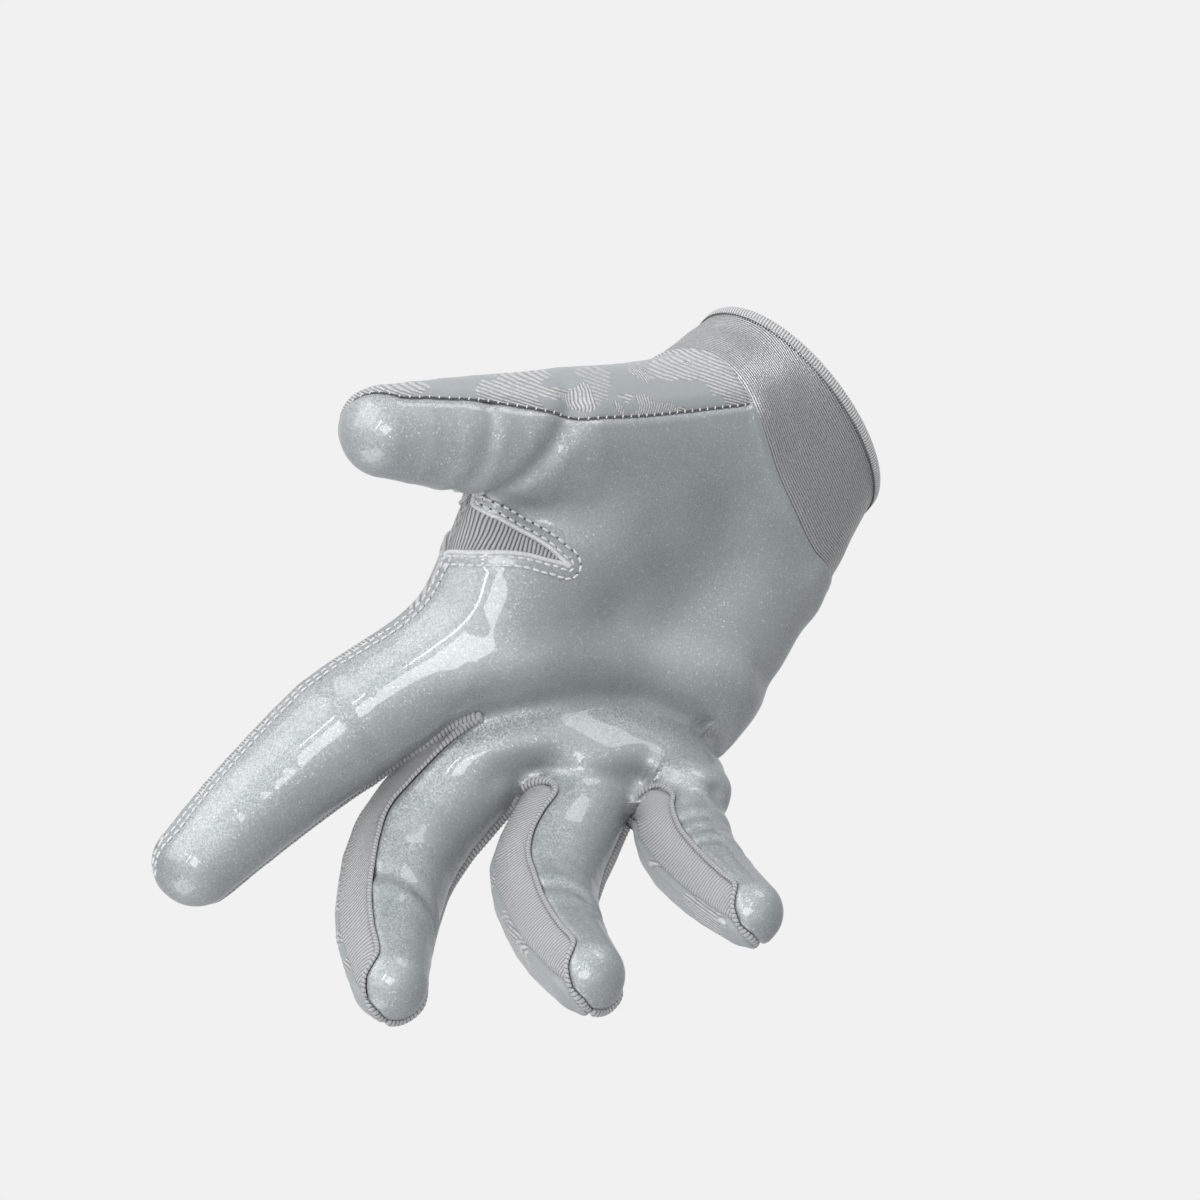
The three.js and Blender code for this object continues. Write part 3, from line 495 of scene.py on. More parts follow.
def refine_rows(grid, times, breaks=()):
    """The same along the rows, in separate runs between the broken rows, so that neighbours match there."""
    marks = [0, *[row for row in breaks if 0 < row < len(grid) - 1], len(grid) - 1]
    runs = [refine(grid[start:end + 1], times) for start, end in zip(marks, marks[1:])]
    return np.concatenate([runs[0], *[run[1:] for run in runs[1:]]])


def strip(count, line_at):
    """A CAD strip: three guessed points a row, spread over the columns and put onto the skin."""
    shares = np.arange(STRIP_COLUMNS + 1) / STRIP_COLUMNS
    return onto_skin(np.array([arc(*line_at(row), shares) for row in range(count + 1)]))


PALM_BREAKS = (PALM_ROWS, PALM_ROWS + WEB_ROWS)
FINGER_BREAKS = (GUSSET_ROWS,)
THUMB_BREAKS = (WEB_ROWS,)


def panel_strips(front):
    """The CAD strips of a panel, each with the rows where its run is broken."""
    strips = []
    for number in range(5):
        last = PALM_ROWS if number == 0 else SPLIT_ROW
        lines = (number, number + 0.5, number + 1)
        rows = strip(last, lambda row: [palm_line_point(line, front, row) for line in lines])
        strips.append((rows, PALM_BREAKS))
    for finger in range(4):
        lines = (finger + 1, finger + 1.5, finger + 2)
        rows = strip(DIGIT_ROWS + TIP_ROWS, lambda row: [
            split_point(line, front) if row == 0 else finger_line_point(line, finger, front, row)
            for line in lines])
        strips.append((rows, FINGER_BREAKS))
    rows = strip(WEB_ROWS + THUMB_ROWS + TIP_ROWS, lambda row: [
        thumb_line_point(line, front, row) for line in (0, 0.5, 1)])
    strips.append((rows, THUMB_BREAKS))
    return strips


def weld(grids, flip):
    """One mesh from several grids of points: shared corners merged, two triangles a cell."""
    points, triangles, offset = [], [], 0
    for grid in grids:
        rows, columns = grid.shape[:2]
        index = offset + np.arange(rows * columns).reshape(rows, columns)
        a, b, d, e = index[:-1, :-1], index[:-1, 1:], index[1:, :-1], index[1:, 1:]
        faces = [(a, d, b), (b, d, e)] if not flip else [(a, b, d), (b, e, d)]
        triangles += [np.stack([corner.ravel() for corner in face], 1) for face in faces]
        points.append(grid.reshape(-1, 3))
        offset += rows * columns
    points = np.concatenate(points)
    triangles = np.concatenate(triangles)
    _, first, inverse = np.unique(np.round(points * 500).astype(np.int64), axis=0,
                                  return_index=True, return_inverse=True)
    triangles = inverse.reshape(-1)[triangles]
    a, b, c = triangles.T
    return points[first], triangles[(a != b) & (b != c) & (c != a)]


def rim_points(triangles):
    """The numbers of the points on edges that only one triangle uses."""
    edges = np.sort(np.concatenate([triangles[:, [0, 1]], triangles[:, [1, 2]], triangles[:, [2, 0]]]), axis=1)
    pairs, counts = np.unique(edges, axis=0, return_counts=True)
    return np.unique(pairs[counts == 1])


def distance_to(points, targets):
    """Distance from each point to the nearest of the targets."""
    tree = kdtree.KDTree(len(targets))
    for i, target in enumerate(targets):
        tree.insert(target, i)
    tree.balance()
    return np.array([tree.find(point)[2] for point in points])


def bell(distance, centre, width):
    return np.exp(-(((distance - centre) / width) ** 2))


def make_mesh(name, points, faces, uv=None):
    mesh = bpy.data.meshes.new(name)
    mesh.from_pydata((np.asarray(points) * 0.001).tolist(), [], np.asarray(faces).tolist())
    mesh.shade_smooth()
    if uv is not None:
        layer = mesh.uv_layers.new(name="weave")
        layer.data.foreach_set("uv", uv[np.asarray(faces).ravel()].ravel())
    piece = bpy.data.objects.new(name, mesh)
    bpy.context.scene.collection.objects.link(piece)
    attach(piece, "root")
    return piece


# ---- finishes
class Finish:
    """A material under construction. Inputs are named by socket, and take a constant or another socket."""

    def __init__(self, name):
        self.material = bpy.data.materials.new(name)
        self.material.use_nodes = True
        self.tree = self.material.node_tree
        self.tree.nodes.clear()
        output = self.tree.nodes.new("ShaderNodeOutputMaterial")
        self.shader = self.tree.nodes.new("ShaderNodeBsdfPrincipled")
        self.tree.links.new(self.shader.outputs[0], output.inputs["Surface"])

    def set(self, node, inputs):
        for key, value in inputs.items():
            if isinstance(value, bpy.types.NodeSocket):
                self.tree.links.new(value, node.inputs[key])
            else:
                node.inputs[key].default_value = value
        return node

    def add(self, kind, inputs=(), **settings):
        node = self.tree.nodes.new("ShaderNode" + kind)
        for key, value in settings.items():
            setattr(node, key, value)
        return self.set(node, dict(inputs))

    def place(self):
        return self.add("TexCoord").outputs["Object"]

    def maths(self, operation, a, b=0.0, c=0.0):
        return self.add("Math", {0: a, 1: b, 2: c}, operation=operation).outputs[0]

    def span(self, value, low, high, to_low=0.0, to_high=1.0):
        inputs = {"Value": value, "From Min": low, "From Max": high, "To Min": to_low, "To Max": to_high}
        return self.add("MapRange", inputs).outputs["Result"]

    def blend(self, factor, a, b):
        return self.add("Mix", {0: factor, 6: a, 7: b}, data_type="RGBA").outputs[2]

    def noise(self, vector, scale, detail=2.0, rough=0.5):
        return self.add("TexNoise", {"Vector": vector, "Scale": scale, "Detail": detail, "Roughness": rough})

    def bump(self, height, depth, strength=1.0, normal=None):
        inputs = {"Height": height, "Distance": depth, "Strength": strength}
        if normal is not None:
            inputs["Normal"] = normal
        return self.add("Bump", inputs).outputs["Normal"]


def grey(value, tint=0.0):
    """A linear grey, cooler as tint grows."""
    return (value * (1 - tint), value, value * (1 + tint * 0.4), 1)


def silicone_finish():
    """Clear-coated pearl silicone: flakes that each lean their own way under a smooth coat. The flakes and clouds
    vary its tone at random, and a few flakes are mixed toward white as painted glints.
    """
    f = Finish("silicone_palm")
    place = f.place()
    flakes = f.add("TexVoronoi", {"Vector": place, "Scale": 3600.0}, feature="F1")
    lean = f.add("VectorMath", {0: flakes.outputs["Color"], 1: (0.5, 0.5, 0.5)}, operation="SUBTRACT")
    lean = f.add("VectorMath", {0: lean.outputs[0], "Scale": 0.42}, operation="SCALE")
    normal = f.add("NewGeometry").outputs["Normal"]
    normal = f.add("VectorMath", {0: normal, 1: lean.outputs[0]}, operation="ADD")
    normal = f.add("VectorMath", {0: normal.outputs[0]}, operation="NORMALIZE").outputs[0]
    flake_tone_and_glint = f.add("SeparateColor", {0: flakes.outputs["Color"]})
    cloud = f.noise(place, 60.0, 3.0).outputs["Fac"]
    tone = f.maths("ADD", f.maths("MULTIPLY", flake_tone_and_glint.outputs[0], 0.5), f.maths("MULTIPLY", cloud, 0.5))
    colour = f.blend(f.span(tone, 0.2, 0.8), grey(0.34, 0.08), grey(0.54, 0.05))
    # Painted glints: the flakes with the highest random value are mixed toward white.
    colour = f.blend(f.span(flake_tone_and_glint.outputs[1], 0.96, 0.98, 0.0, 0.35), colour, grey(0.95, 0.02))
    ripple = f.noise(place, 70.0, 1.0, 0.4).outputs["Fac"]
    coat = f.bump(ripple, 0.001, 0.4)
    f.set(f.shader, {"Base Color": colour, "Metallic": 0.6, "Roughness": 0.52, "Normal": normal,
                     "Coat Weight": 0.9, "Coat Roughness": 0.04, "Coat IOR": 1.5, "Coat Normal": coat})
    return f.material


def knit_finish(name, pitch, depth, light, dark, slant=0.0, roughness=0.45, wander=0.8):
    """Satin knit: rounded ribs across the strip, by the distance along it, with fine threads in them. Its colour is
    light on the rib tops and painted shade in the valleys between them.
    """
    f = Finish(name)
    weave = f.add("UVMap", uv_map="weave").outputs[0]
    axes = f.add("SeparateXYZ", {0: weave})
    place = f.place()
    shift = f.maths("MULTIPLY", f.noise(place, 130.0, 3.0).outputs["Fac"], wander * pitch)
    run = f.maths("ADD", f.maths("ADD", axes.outputs[0], f.maths("MULTIPLY", axes.outputs[1], slant)), shift)
    rib = f.maths("ABSOLUTE", f.maths("SINE", f.maths("MULTIPLY", run, math.pi / pitch)))
    rib = f.maths("POWER", rib, 0.7)
    thread = f.add("TexNoise", {"Vector": f.add("Mapping", {"Vector": weave, "Scale": (0.8, 5.0, 1.0)}).outputs[0],
                                "Scale": 2.2, "Detail": 2.0}).outputs["Fac"]
    height = f.maths("ADD", rib, f.maths("MULTIPLY", thread, 0.5))
    # Painted shade: the colour goes from light on the rib tops to dark in the valleys.
    tone = f.maths("MULTIPLY", rib, f.span(thread, 0.25, 0.75, 0.8, 1.0))
    colour = f.blend(tone, grey(dark, 0.02), grey(light, 0.02))
    f.set(f.shader, {"Base Color": colour, "Roughness": roughness, "Metallic": 0.1, "Sheen Weight": 0.35,
                     "Sheen Roughness": 0.35, "Normal": f.bump(height, depth * 0.001)})
    return f.material


def jacquard_finish():
    """Woven back cloth: a smooth ground with raised ribbed patches in torn shapes, each ribbed its own way. The
    patches have pale threads on their ribs and painted shade, darker than the ground, between them.
    """
    f = Finish("jacquard_back")
    place = f.place()
    warp = f.noise(place, 45.0, 2.0).outputs["Color"]
    warp = f.add("VectorMath", {0: warp, 1: (0.5, 0.5, 0.5)}, operation="SUBTRACT")
    warp = f.add("VectorMath", {0: warp.outputs[0], "Scale": 0.012}, operation="SCALE")
    bent = f.add("VectorMath", {0: place, 1: warp.outputs[0]}, operation="ADD").outputs[0]
    cells = f.add("TexVoronoi", {"Vector": bent, "Scale": 105.0, "Randomness": 1.0},
                  feature="F1", distance="CHEBYCHEV")
    cell = f.add("SeparateColor", {0: cells.outputs["Color"]})
    patch = f.span(cell.outputs[0], 0.46, 0.5)
    axes = f.add("SeparateXYZ", {0: place})
    first = f.maths("ADD", axes.outputs[0], f.maths("MULTIPLY", axes.outputs[2], 0.8))
    across = f.maths("ADD", axes.outputs[0], f.maths("MULTIPLY", axes.outputs[1], 0.4))
    second = f.maths("SUBTRACT", f.maths("MULTIPLY", across, 0.8), axes.outputs[2])
    way = f.span(cell.outputs[1], 0.48, 0.52)
    run = f.maths("ADD", f.maths("MULTIPLY", first, way), f.maths("MULTIPLY", second, f.maths("SUBTRACT", 1.0, way)))
    run = f.maths("ADD", run, f.maths("MULTIPLY", f.noise(place, 260.0, 2.0).outputs["Fac"], 0.0005))
    rib = f.maths("ABSOLUTE", f.maths("SINE", f.maths("MULTIPLY", run, math.pi / 0.00088)))
    ground = f.maths("ABSOLUTE", f.maths("SINE", f.maths("MULTIPLY", first, math.pi / 0.0005)))
    height = f.maths("ADD", f.maths("MULTIPLY", patch, f.maths("ADD", rib, 0.6)), f.maths("MULTIPLY", ground, 0.16))
    fine = f.noise(place, 1500.0, 2.0).outputs["Fac"]
    low = f.blend(fine, grey(0.33, 0.07), grey(0.4, 0.06))
    # Pale threads on the ribs are the cloth's own colour; the darker value between them is painted shade.
    high = f.blend(f.maths("MULTIPLY", rib, f.span(fine, 0.3, 0.6, 0.5, 1.0)), grey(0.24, 0.03), grey(0.62, 0.01))
    f.set(f.shader, {"Base Color": f.blend(patch, low, high), "Metallic": 0.05,
                     "Roughness": f.span(patch, 0.0, 1.0, 0.55, 0.42), "Sheen Weight": 0.3,
                     "Sheen Roughness": 0.4, "Normal": f.bump(height, 0.00018)})
    return f.material


def satin_finish():
    """Satin stretch knit: very fine slanted ribs, bright threads on the ribs and painted shade in the valleys between
    them, with fine specks of brighter colour painted as glints.
    """
    f = Finish("satin_cuff")
    weave = f.add("UVMap", uv_map="weave").outputs[0]
    axes = f.add("SeparateXYZ", {0: weave})
    place = f.place()
    run = f.maths("ADD", axes.outputs[1], f.maths("MULTIPLY", f.noise(place, 90.0, 2.0).outputs["Fac"], 0.4))
    rib = f.maths("ABSOLUTE", f.maths("SINE", f.maths("MULTIPLY", run, math.pi / 0.66)))
    speck = f.noise(place, 2600.0, 2.0).outputs["Fac"]
    # Painted shade and glints: dark in the rib valleys, and lighter in fine specks that stand in for sparkle.
    tone = f.maths("ADD", f.maths("MULTIPLY", rib, 0.65), f.maths("MULTIPLY", f.span(speck, 0.3, 0.7), 0.35))
    colour = f.blend(tone, grey(0.08, 0.02), grey(0.78, 0.01))
    height = f.maths("ADD", rib, f.maths("MULTIPLY", speck, 0.5))
    f.set(f.shader, {"Base Color": colour, "Metallic": 0.85, "Roughness": 0.3, "Sheen Weight": 0.2,
                     "Sheen Roughness": 0.3, "Normal": f.bump(height, 0.00013)})
    return f.material


def thread_finish(name, value, roughness=0.5, pitch=0.0, gap=0.5):
    """Twisted thread: light and dark fibres, and with a pitch, painted shade in the grooves between its turns."""
    f = Finish(name)
    place = f.place()
    fibre = f.noise(place, 3500.0, 3.0, 0.6).outputs["Fac"]
    tone = f.span(fibre, 0.3, 0.7, 0.55, 1.0)
    if pitch:
        axes = f.add("SeparateXYZ", {0: f.add("UVMap", uv_map="weave").outputs[0]})
        turns = f.maths("ADD", f.maths("DIVIDE", axes.outputs[0], pitch), axes.outputs[1])
        ridge = f.maths("ABSOLUTE", f.maths("SINE", f.maths("MULTIPLY", turns, math.pi)))
        # Painted shade: the colour is darker in the grooves between the turns.
        tone = f.maths("MULTIPLY", tone, f.span(ridge, 0.0, gap))
    colour = f.blend(tone, grey(value * 0.12, 0.02), grey(value * 1.15, 0.02))
    f.set(f.shader, {"Base Color": colour, "Roughness": roughness, "Sheen Weight": 0.3,
                     "Normal": f.bump(fibre, 0.00008)})
    return f.material


SILICONE = silicone_finish()
JACQUARD = jacquard_finish()
ROLL_PITCH = 1.0
WRAP_PITCH = 0.75
SILICONE_EDGE = thread_finish("silicone_edge", 0.72, 0.35)
CLOTH_EDGE = thread_finish("cloth_edge", 0.5, 0.5)
# Both knits are painted dark in the valleys between their ribs: painted shade.
KNIT = knit_finish("rib_knit", 0.95, 0.26, 0.56, 0.2)
WEB_KNIT = knit_finish("web_knit", 1.0, 0.42, 0.7, 0.02, slant=0.3, roughness=0.5, wander=1.3)
SATIN = satin_finish()
# The roll and the binding thread are painted darker between their turns: painted shade in the grooves.
ROLL = thread_finish("seam_roll", 0.46, 0.45, ROLL_PITCH)
WRAP = thread_finish("binding_thread", 0.62, 0.4, WRAP_PITCH, 0.75)
PALE_THREAD = thread_finish("stitch_thread", 0.75, 0.45)
# The near-black seam_shadow finish is painted shade, put in seams and stitch holes where shade falls; it is not a
# dark thread.
PAINTED_SEAM_SHADE = thread_finish("seam_shadow", 0.09, 0.8)


def dress(piece, material, slot, *nodes):
    piece.data.materials.append(material)
    if nodes:
        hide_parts(*nodes)
    return piece


# ---- the panels
def web_edge(corner, front=True, count=25):
    """Points on the skin from the wedge's tip in the palm or the back to a corner in the web."""
    tip = level_point(1, front)
    rows = [mix(tip, corner, web_share(row)) for row in range(WEB_ROWS + 1)]
    return onto_skin(refine(onto_skin(np.array(rows)), 6), 4)


WEB_SEAMS = np.concatenate([web_edge(corner, front) for front in (True, False)
                            for corner in (WEB_CORNER_THUMB, WEB_CORNER_INDEX)])


def wrist_seam():
    shares = np.arange(STRIP_COLUMNS) / STRIP_COLUMNS
    seam = []
    for front in (True, False):
        for step in range(5):
            number = step if front else 4 - step
            lines = [palm_line_point(line, front, 0) for line in (number, number + 0.5, number + 1)]
            seam.append(arc(*lines, shares if front else 1 - shares))
    return onto_skin(np.concatenate(seam))


WRIST_SEAM = wrist_seam()
WRIST_RING = onto_skin(refine(WRIST_SEAM, FINE, closed=True), 4)


# Creases of the palm sheet over the joints: digit, joint, shift along it, slant, depth and half width
CREASES = [
    (0, 2, 0, 0.25, 0.35, 1.8), (1, 1, -2, 0.3, 0.2, 1.8), (2, 2, -1, 0.9, 0.8, 1.9), (2, 2, -7, 0.7, 0.2, 2.2),
    (3, 2, -1, 0.9, 0.8, 1.8), (3, 2, -8, 1.0, 0.2, 2.2), (4, 2, -1, 0.5, 0.4, 1.6), (4, 1, 6, -0.4, 0.4, 1.5),
    (4, 1, 11, -0.6, 0.25, 1.6),
]


def crease_height(points):
    """Each crease is a slanted valley across the pad with a low ridge to either side."""
    height = np.zeros(len(points))
    for digit, joint, shift, slant, depth, width in CREASES:
        chain = CHAINS[digit]
        along, across, out = chain.frames[joint]
        away = points - chain.joints[joint]
        radius = chain.radii[joint]
        x, y, z = away @ along - shift, away @ across / radius, away @ out / radius
        x = x - slant * y * radius * 0.5
        near = np.clip(1.3 - np.hypot(y, z), 0, 0.2) / 0.2 * np.clip(z + 0.2, 0, 0.5) / 0.5
        height += depth * near * (0.4 * bell(np.abs(x), 2.1 * width, width) - bell(x, 0, width))
    return height


def make_panel(name, front, wall):
    """The outer side at fine steps, drawn down at its seams, and a coarser lining one wall below it."""
    strips = panel_strips(front)
    grids = [onto_skin(refine(refine_rows(grid, FINE, breaks), FINE, axis=1), 3) for grid, breaks in strips]
    points, faces = weld(grids, not front)
    _, slope = skin_slope(points)
    normals = unit(slope)
    edge = distance_to(points, points[rim_points(faces)])
    web = distance_to(points, WEB_SEAMS)
    cuff = distance_to(points, WRIST_RING)
    lap = np.maximum(bell(web, 0, 1.2), bell(cuff, 0, 1.0))
    height = -0.75 * bell(edge, 0, 0.55) * (1 - lap) + (0.2 if front else 0.45) * bell(edge, 1.5, 1.0)
    if front:
        height += 0.35 * np.clip(1 - web / 5, 0, 1) - 0.22 * bell(web, 1.5, 0.35) - 0.22 * bell(web, 3.4, 0.35)
        height += 0.3 * bell(cuff, 0, 1.6) + crease_height(points)
    outer = points + normals * height[:, None]
    coarse = [refine(refine_rows(grid, LINING, breaks), LINING, axis=1) for grid, breaks in strips]
    lining, lining_faces = weld(coarse, front)
    lining = onto_skin(lining, 3)
    _, slope = skin_slope(lining)
    lining = lining - unit(slope) * wall
    return make_mesh(name, np.concatenate([outer, lining]), np.concatenate([faces, lining_faces + len(outer)]))


palm = dress(make_panel("palm_sheet", True, PALM_WALL), SILICONE, "silicone_palm", "palm_skin")
back = dress(make_panel("back_cloth", False, BACK_WALL), JACQUARD, "jacquard_back", "back_panel")


# ---- the knit strips between the fingers
GUSSET_FINE = 8
GUSSET_COLUMNS = 6
GUSSET_BREAKS = (GUSSET_ROWS,)


def gusset_guess(pair):
    """The CAD rows of a knit strip: down one finger, through the crotch and up the next."""
    crotch = CROTCHES[pair]

    def side(finger, row):
        turn = -1 if finger > pair else 1
        start = crotch["second" if turn < 0 else "first"]
        distance = row_distance(FINGERS[finger], start, row, DIGIT_ROWS)
        return [finger_line_point(pair + 2, finger, True, row),
                FINGERS[finger].beside(distance, turn * GUSSET_END),
                finger_line_point(pair + 2, finger, False, row)]

    rows = [side(pair, row) for row in range(GUSSET_ROWS, 0, -1)]
    rows.append([crotch["front"], crotch["saddle"], crotch["back"]])
    rows += [side(pair + 1, row) for row in range(1, GUSSET_ROWS + 1)]
    return np.array(rows)


def arc_lengths(grid, axis):
    steps = np.linalg.norm(np.diff(grid, axis=axis), axis=-1)
    start = np.zeros_like(np.take(steps, [0], axis=axis))
    return np.cumsum(np.concatenate([start, steps], axis=axis), axis=axis)


def make_gusset(name, pair):
    shares = np.arange(GUSSET_COLUMNS + 1) / GUSSET_COLUMNS
    coarse = onto_skin(np.array([arc(*row, shares) for row in onto_skin(gusset_guess(pair))]))
    grid = onto_skin(refine(refine_rows(coarse, GUSSET_FINE, GUSSET_BREAKS), 4, axis=1), 3)
    _, slope = skin_slope(grid)
    normals = unit(slope)
    across = arc_lengths(grid, 1)
    edge = np.minimum(across, across[:, -1:] - across)
    grid = grid + normals * (-0.6 * bell(edge, 0, 0.6) + 0.1)[..., None]
    middle = arc_lengths(grid[:, len(shares) // 2 * 4][:, None], 0)[:, 0]
    uv = np.stack([np.broadcast_to(middle[:, None], across.shape), across], axis=-1).reshape(-1, 2)
    rows, columns = grid.shape[:2]
    index = np.arange(rows * columns).reshape(rows, columns)
    a, b, d, e = (part.ravel() for part in (index[:-1, :-1], index[:-1, 1:], index[1:, :-1], index[1:, 1:]))
    return make_mesh(name, grid.reshape(-1, 3), np.stack([a, b, e, d], 1), uv)


PAIRS = ("index_middle", "middle_ring", "ring_little")
for pair, fingers in enumerate(PAIRS):
    knit = dress(make_gusset("knit_" + fingers, pair), KNIT, "rib_knit", "gusset_" + fingers)


# ---- swept threads
def resample(path, step):
    """The same path at even steps."""
    lengths = np.concatenate([[0], np.cumsum(np.linalg.norm(np.diff(path, axis=0), axis=1))])
    at = np.linspace(0, lengths[-1], max(2, int(round(lengths[-1] / step)) + 1))
    return np.stack([np.interp(at, lengths, path[:, i]) for i in range(3)], 1), at


def sweep(name, path, normals, radius, pitch=None, depth=0.0, sides=12, squash=1.0):
    """A tube round a path. Its radius carries ridges that wind about it, one turn for each pitch."""
    tangent = unit(np.gradient(path, axis=0))
    side = unit(np.cross(normals, tangent))
    up = np.cross(tangent, side)
    turn = np.arange(sides) / sides * 2 * math.pi
    lengths = np.concatenate([[0], np.cumsum(np.linalg.norm(np.diff(path, axis=0), axis=1))])
    from_end = np.minimum(lengths, lengths[-1] - lengths)
    rounding = 1 - np.clip(from_end / np.maximum(radius, 0.1), 0.02, 1)
    radius = (np.broadcast_to(radius, len(path)) * np.sqrt(1 - rounding**2))[:, None]
    if pitch:
        phase = lengths[:, None] / pitch + turn[None] / (2 * math.pi)
        radius = radius * (1 - depth + depth * np.abs(np.sin(math.pi * phase)) ** 0.6)
    ring = (path[:, None] + side[:, None] * (radius * np.cos(turn))[..., None]
            + up[:, None] * (squash * radius * np.sin(turn))[..., None])
    ring = np.concatenate([ring, ring[:, :1]], axis=1)
    uv = np.stack(np.broadcast_arrays(lengths[:, None], np.arange(sides + 1) / sides), -1).reshape(-1, 2)
    index = np.arange(len(path) * (sides + 1)).reshape(len(path), -1)
    a, b, d, e = (part.ravel() for part in (index[:-1, :-1], index[:-1, 1:], index[1:, :-1], index[1:, 1:]))
    return make_mesh(name, ring.reshape(-1, 3), np.stack([a, b, e, d], 1), uv)


ROLL_RADIUS = 1.5
THIN_ROLL = 0.55
TIP_ROLL = 0.85


def make_roll(name, path, radius_at):
    """An oversewn roll along a seam, with its radius as a function of the share of the way."""
    path, at = resample(onto_skin(path, 4), 0.2)
    path = onto_skin(path, 2)
    _, slope = skin_slope(path)
    normals = unit(slope)
    radius = radius_at(at / at[-1])
    roll = sweep(name, path + normals * 0.4 * radius[:, None], normals, radius, ROLL_PITCH, 0.3, squash=0.85)
    return dress(roll, ROLL, "rib_knit")


for pair, fingers in enumerate(PAIRS):
    front = onto_skin(gusset_guess(pair)[:, 0])
    broad = 1.05 if pair else 0.7

    def roll_radius(share):
        """Thick in the crotch, broad along the first finger, thin along the second."""
        crotch = np.exp(-np.abs((share - 0.49) / np.where(share < 0.49, 0.2, 0.06)) ** 2)
        return mix(np.where(share < 0.49, broad, THIN_ROLL), ROLL_RADIUS, crotch)

    make_roll("roll_" + fingers, refine(front, 12), roll_radius)

for finger in (1, 2, 3):
    rows = np.linspace(GUSSET_ROWS, DIGIT_ROWS + TIP_ROWS, 9)
    ends = [[finger_line_point(finger + line, finger, True, row) for row in rows] for line in (1, 2)]
    tip = onto_skin(np.array(ends[0] + ends[1][-2::-1]))
    make_roll("tip_roll_" + DIGITS[finger + 1]["name"], refine(tip, 8),
              lambda share: mix(THIN_ROLL, TIP_ROLL, np.sin(math.pi * share)))


# ---- the knit wedge in the web
WEB_DEPTH = 0.35


def make_wedge():
    """Rows from the tip in the palm, over the web, to the tip on the back, a little below the skin."""
    rows = []
    for row in range(2 * WEB_ROWS + 1):
        front = row <= WEB_ROWS
        share = web_share(row if front else 2 * WEB_ROWS - row)
        tip = level_point(1, front)
        left, right = mix(tip, WEB_CORNER_THUMB, share), mix(tip, WEB_CORNER_INDEX, share)
        rows.append([mix(left, right, column / 4) for column in range(5)])
    coarse = refine_rows(onto_skin(np.array(rows)), 8, (WEB_ROWS,))
    grid = onto_skin(refine(coarse, 6, axis=1), 4)
    _, slope = skin_slope(grid)
    grid = grid - unit(slope) * WEB_DEPTH
    along = arc_lengths(grid[:, 12:13], 0)
    across = arc_lengths(grid, 1)
    uv = np.stack([np.broadcast_to(along, across.shape), across], axis=-1).reshape(-1, 2)
    count, columns = grid.shape[:2]
    index = np.arange(count * columns).reshape(count, columns)
    a, b, d, e = (part.ravel() for part in (index[:-1, :-1], index[:-1, 1:], index[1:, :-1], index[1:, 1:]))
    return make_mesh("web_knit", grid.reshape(-1, 3), np.stack([a, d, e, b], 1), uv)


wedge = dress(make_wedge(), WEB_KNIT, "web_knit", "web_gusset")


# ---- the wrist band and its binding
def make_cuff():
    rim = onto_skin(WRIST_RING * (1, 1, 0) + (0, 0, -BINDING_HEIGHT * 0.5), 6, flat=True)
    shares = np.arange(37) / 36
    grid = np.array([mix(WRIST_RING, rim, share) for share in shares])
    grid[1:] = onto_skin(grid[1:], 4, flat=True)
    grid = np.concatenate([grid, grid[:, :1]], axis=1)
    _, slope = skin_slope(grid)
    normals = unit(slope)
    up = arc_lengths(grid, 0)
    around = arc_lengths(grid[18:19], 1)
    around = around / around[0, -1] * round(around[0, -1])
    waves = np.sin(up * 0.5 + 2 * np.sin(around / around[0, -1] * 2 * math.pi * 3))
    height = -0.25 * bell(up, 0, 0.8) + 0.12 * waves * bell(up, 9, 8)
    outer = grid + normals * height[..., None]
    inner = grid[::4] - normals[::4] * KNIT_WALL
    uv = np.stack([np.broadcast_to(around, up.shape), up], axis=-1)
    points, faces, coordinates, offset = [], [], [], 0
    for layer, layer_uv, flip in ((outer, uv, True), (inner, uv[::4], False)):
        rows, columns = layer.shape[:2]
        index = offset + np.arange(rows * columns).reshape(rows, columns)
        a, b, d, e = (part.ravel() for part in (index[:-1, :-1], index[:-1, 1:], index[1:, :-1], index[1:, 1:]))
        faces.append(np.stack([a, b, e, d] if flip else [a, d, e, b], 1))
        points.append(layer.reshape(-1, 3))
        coordinates.append(layer_uv.reshape(-1, 2))
        offset += rows * columns
    return make_mesh("wrist_band", np.concatenate(points), np.concatenate(faces), np.concatenate(coordinates))


band = dress(make_cuff(), SATIN, "satin_cuff", "cuff")


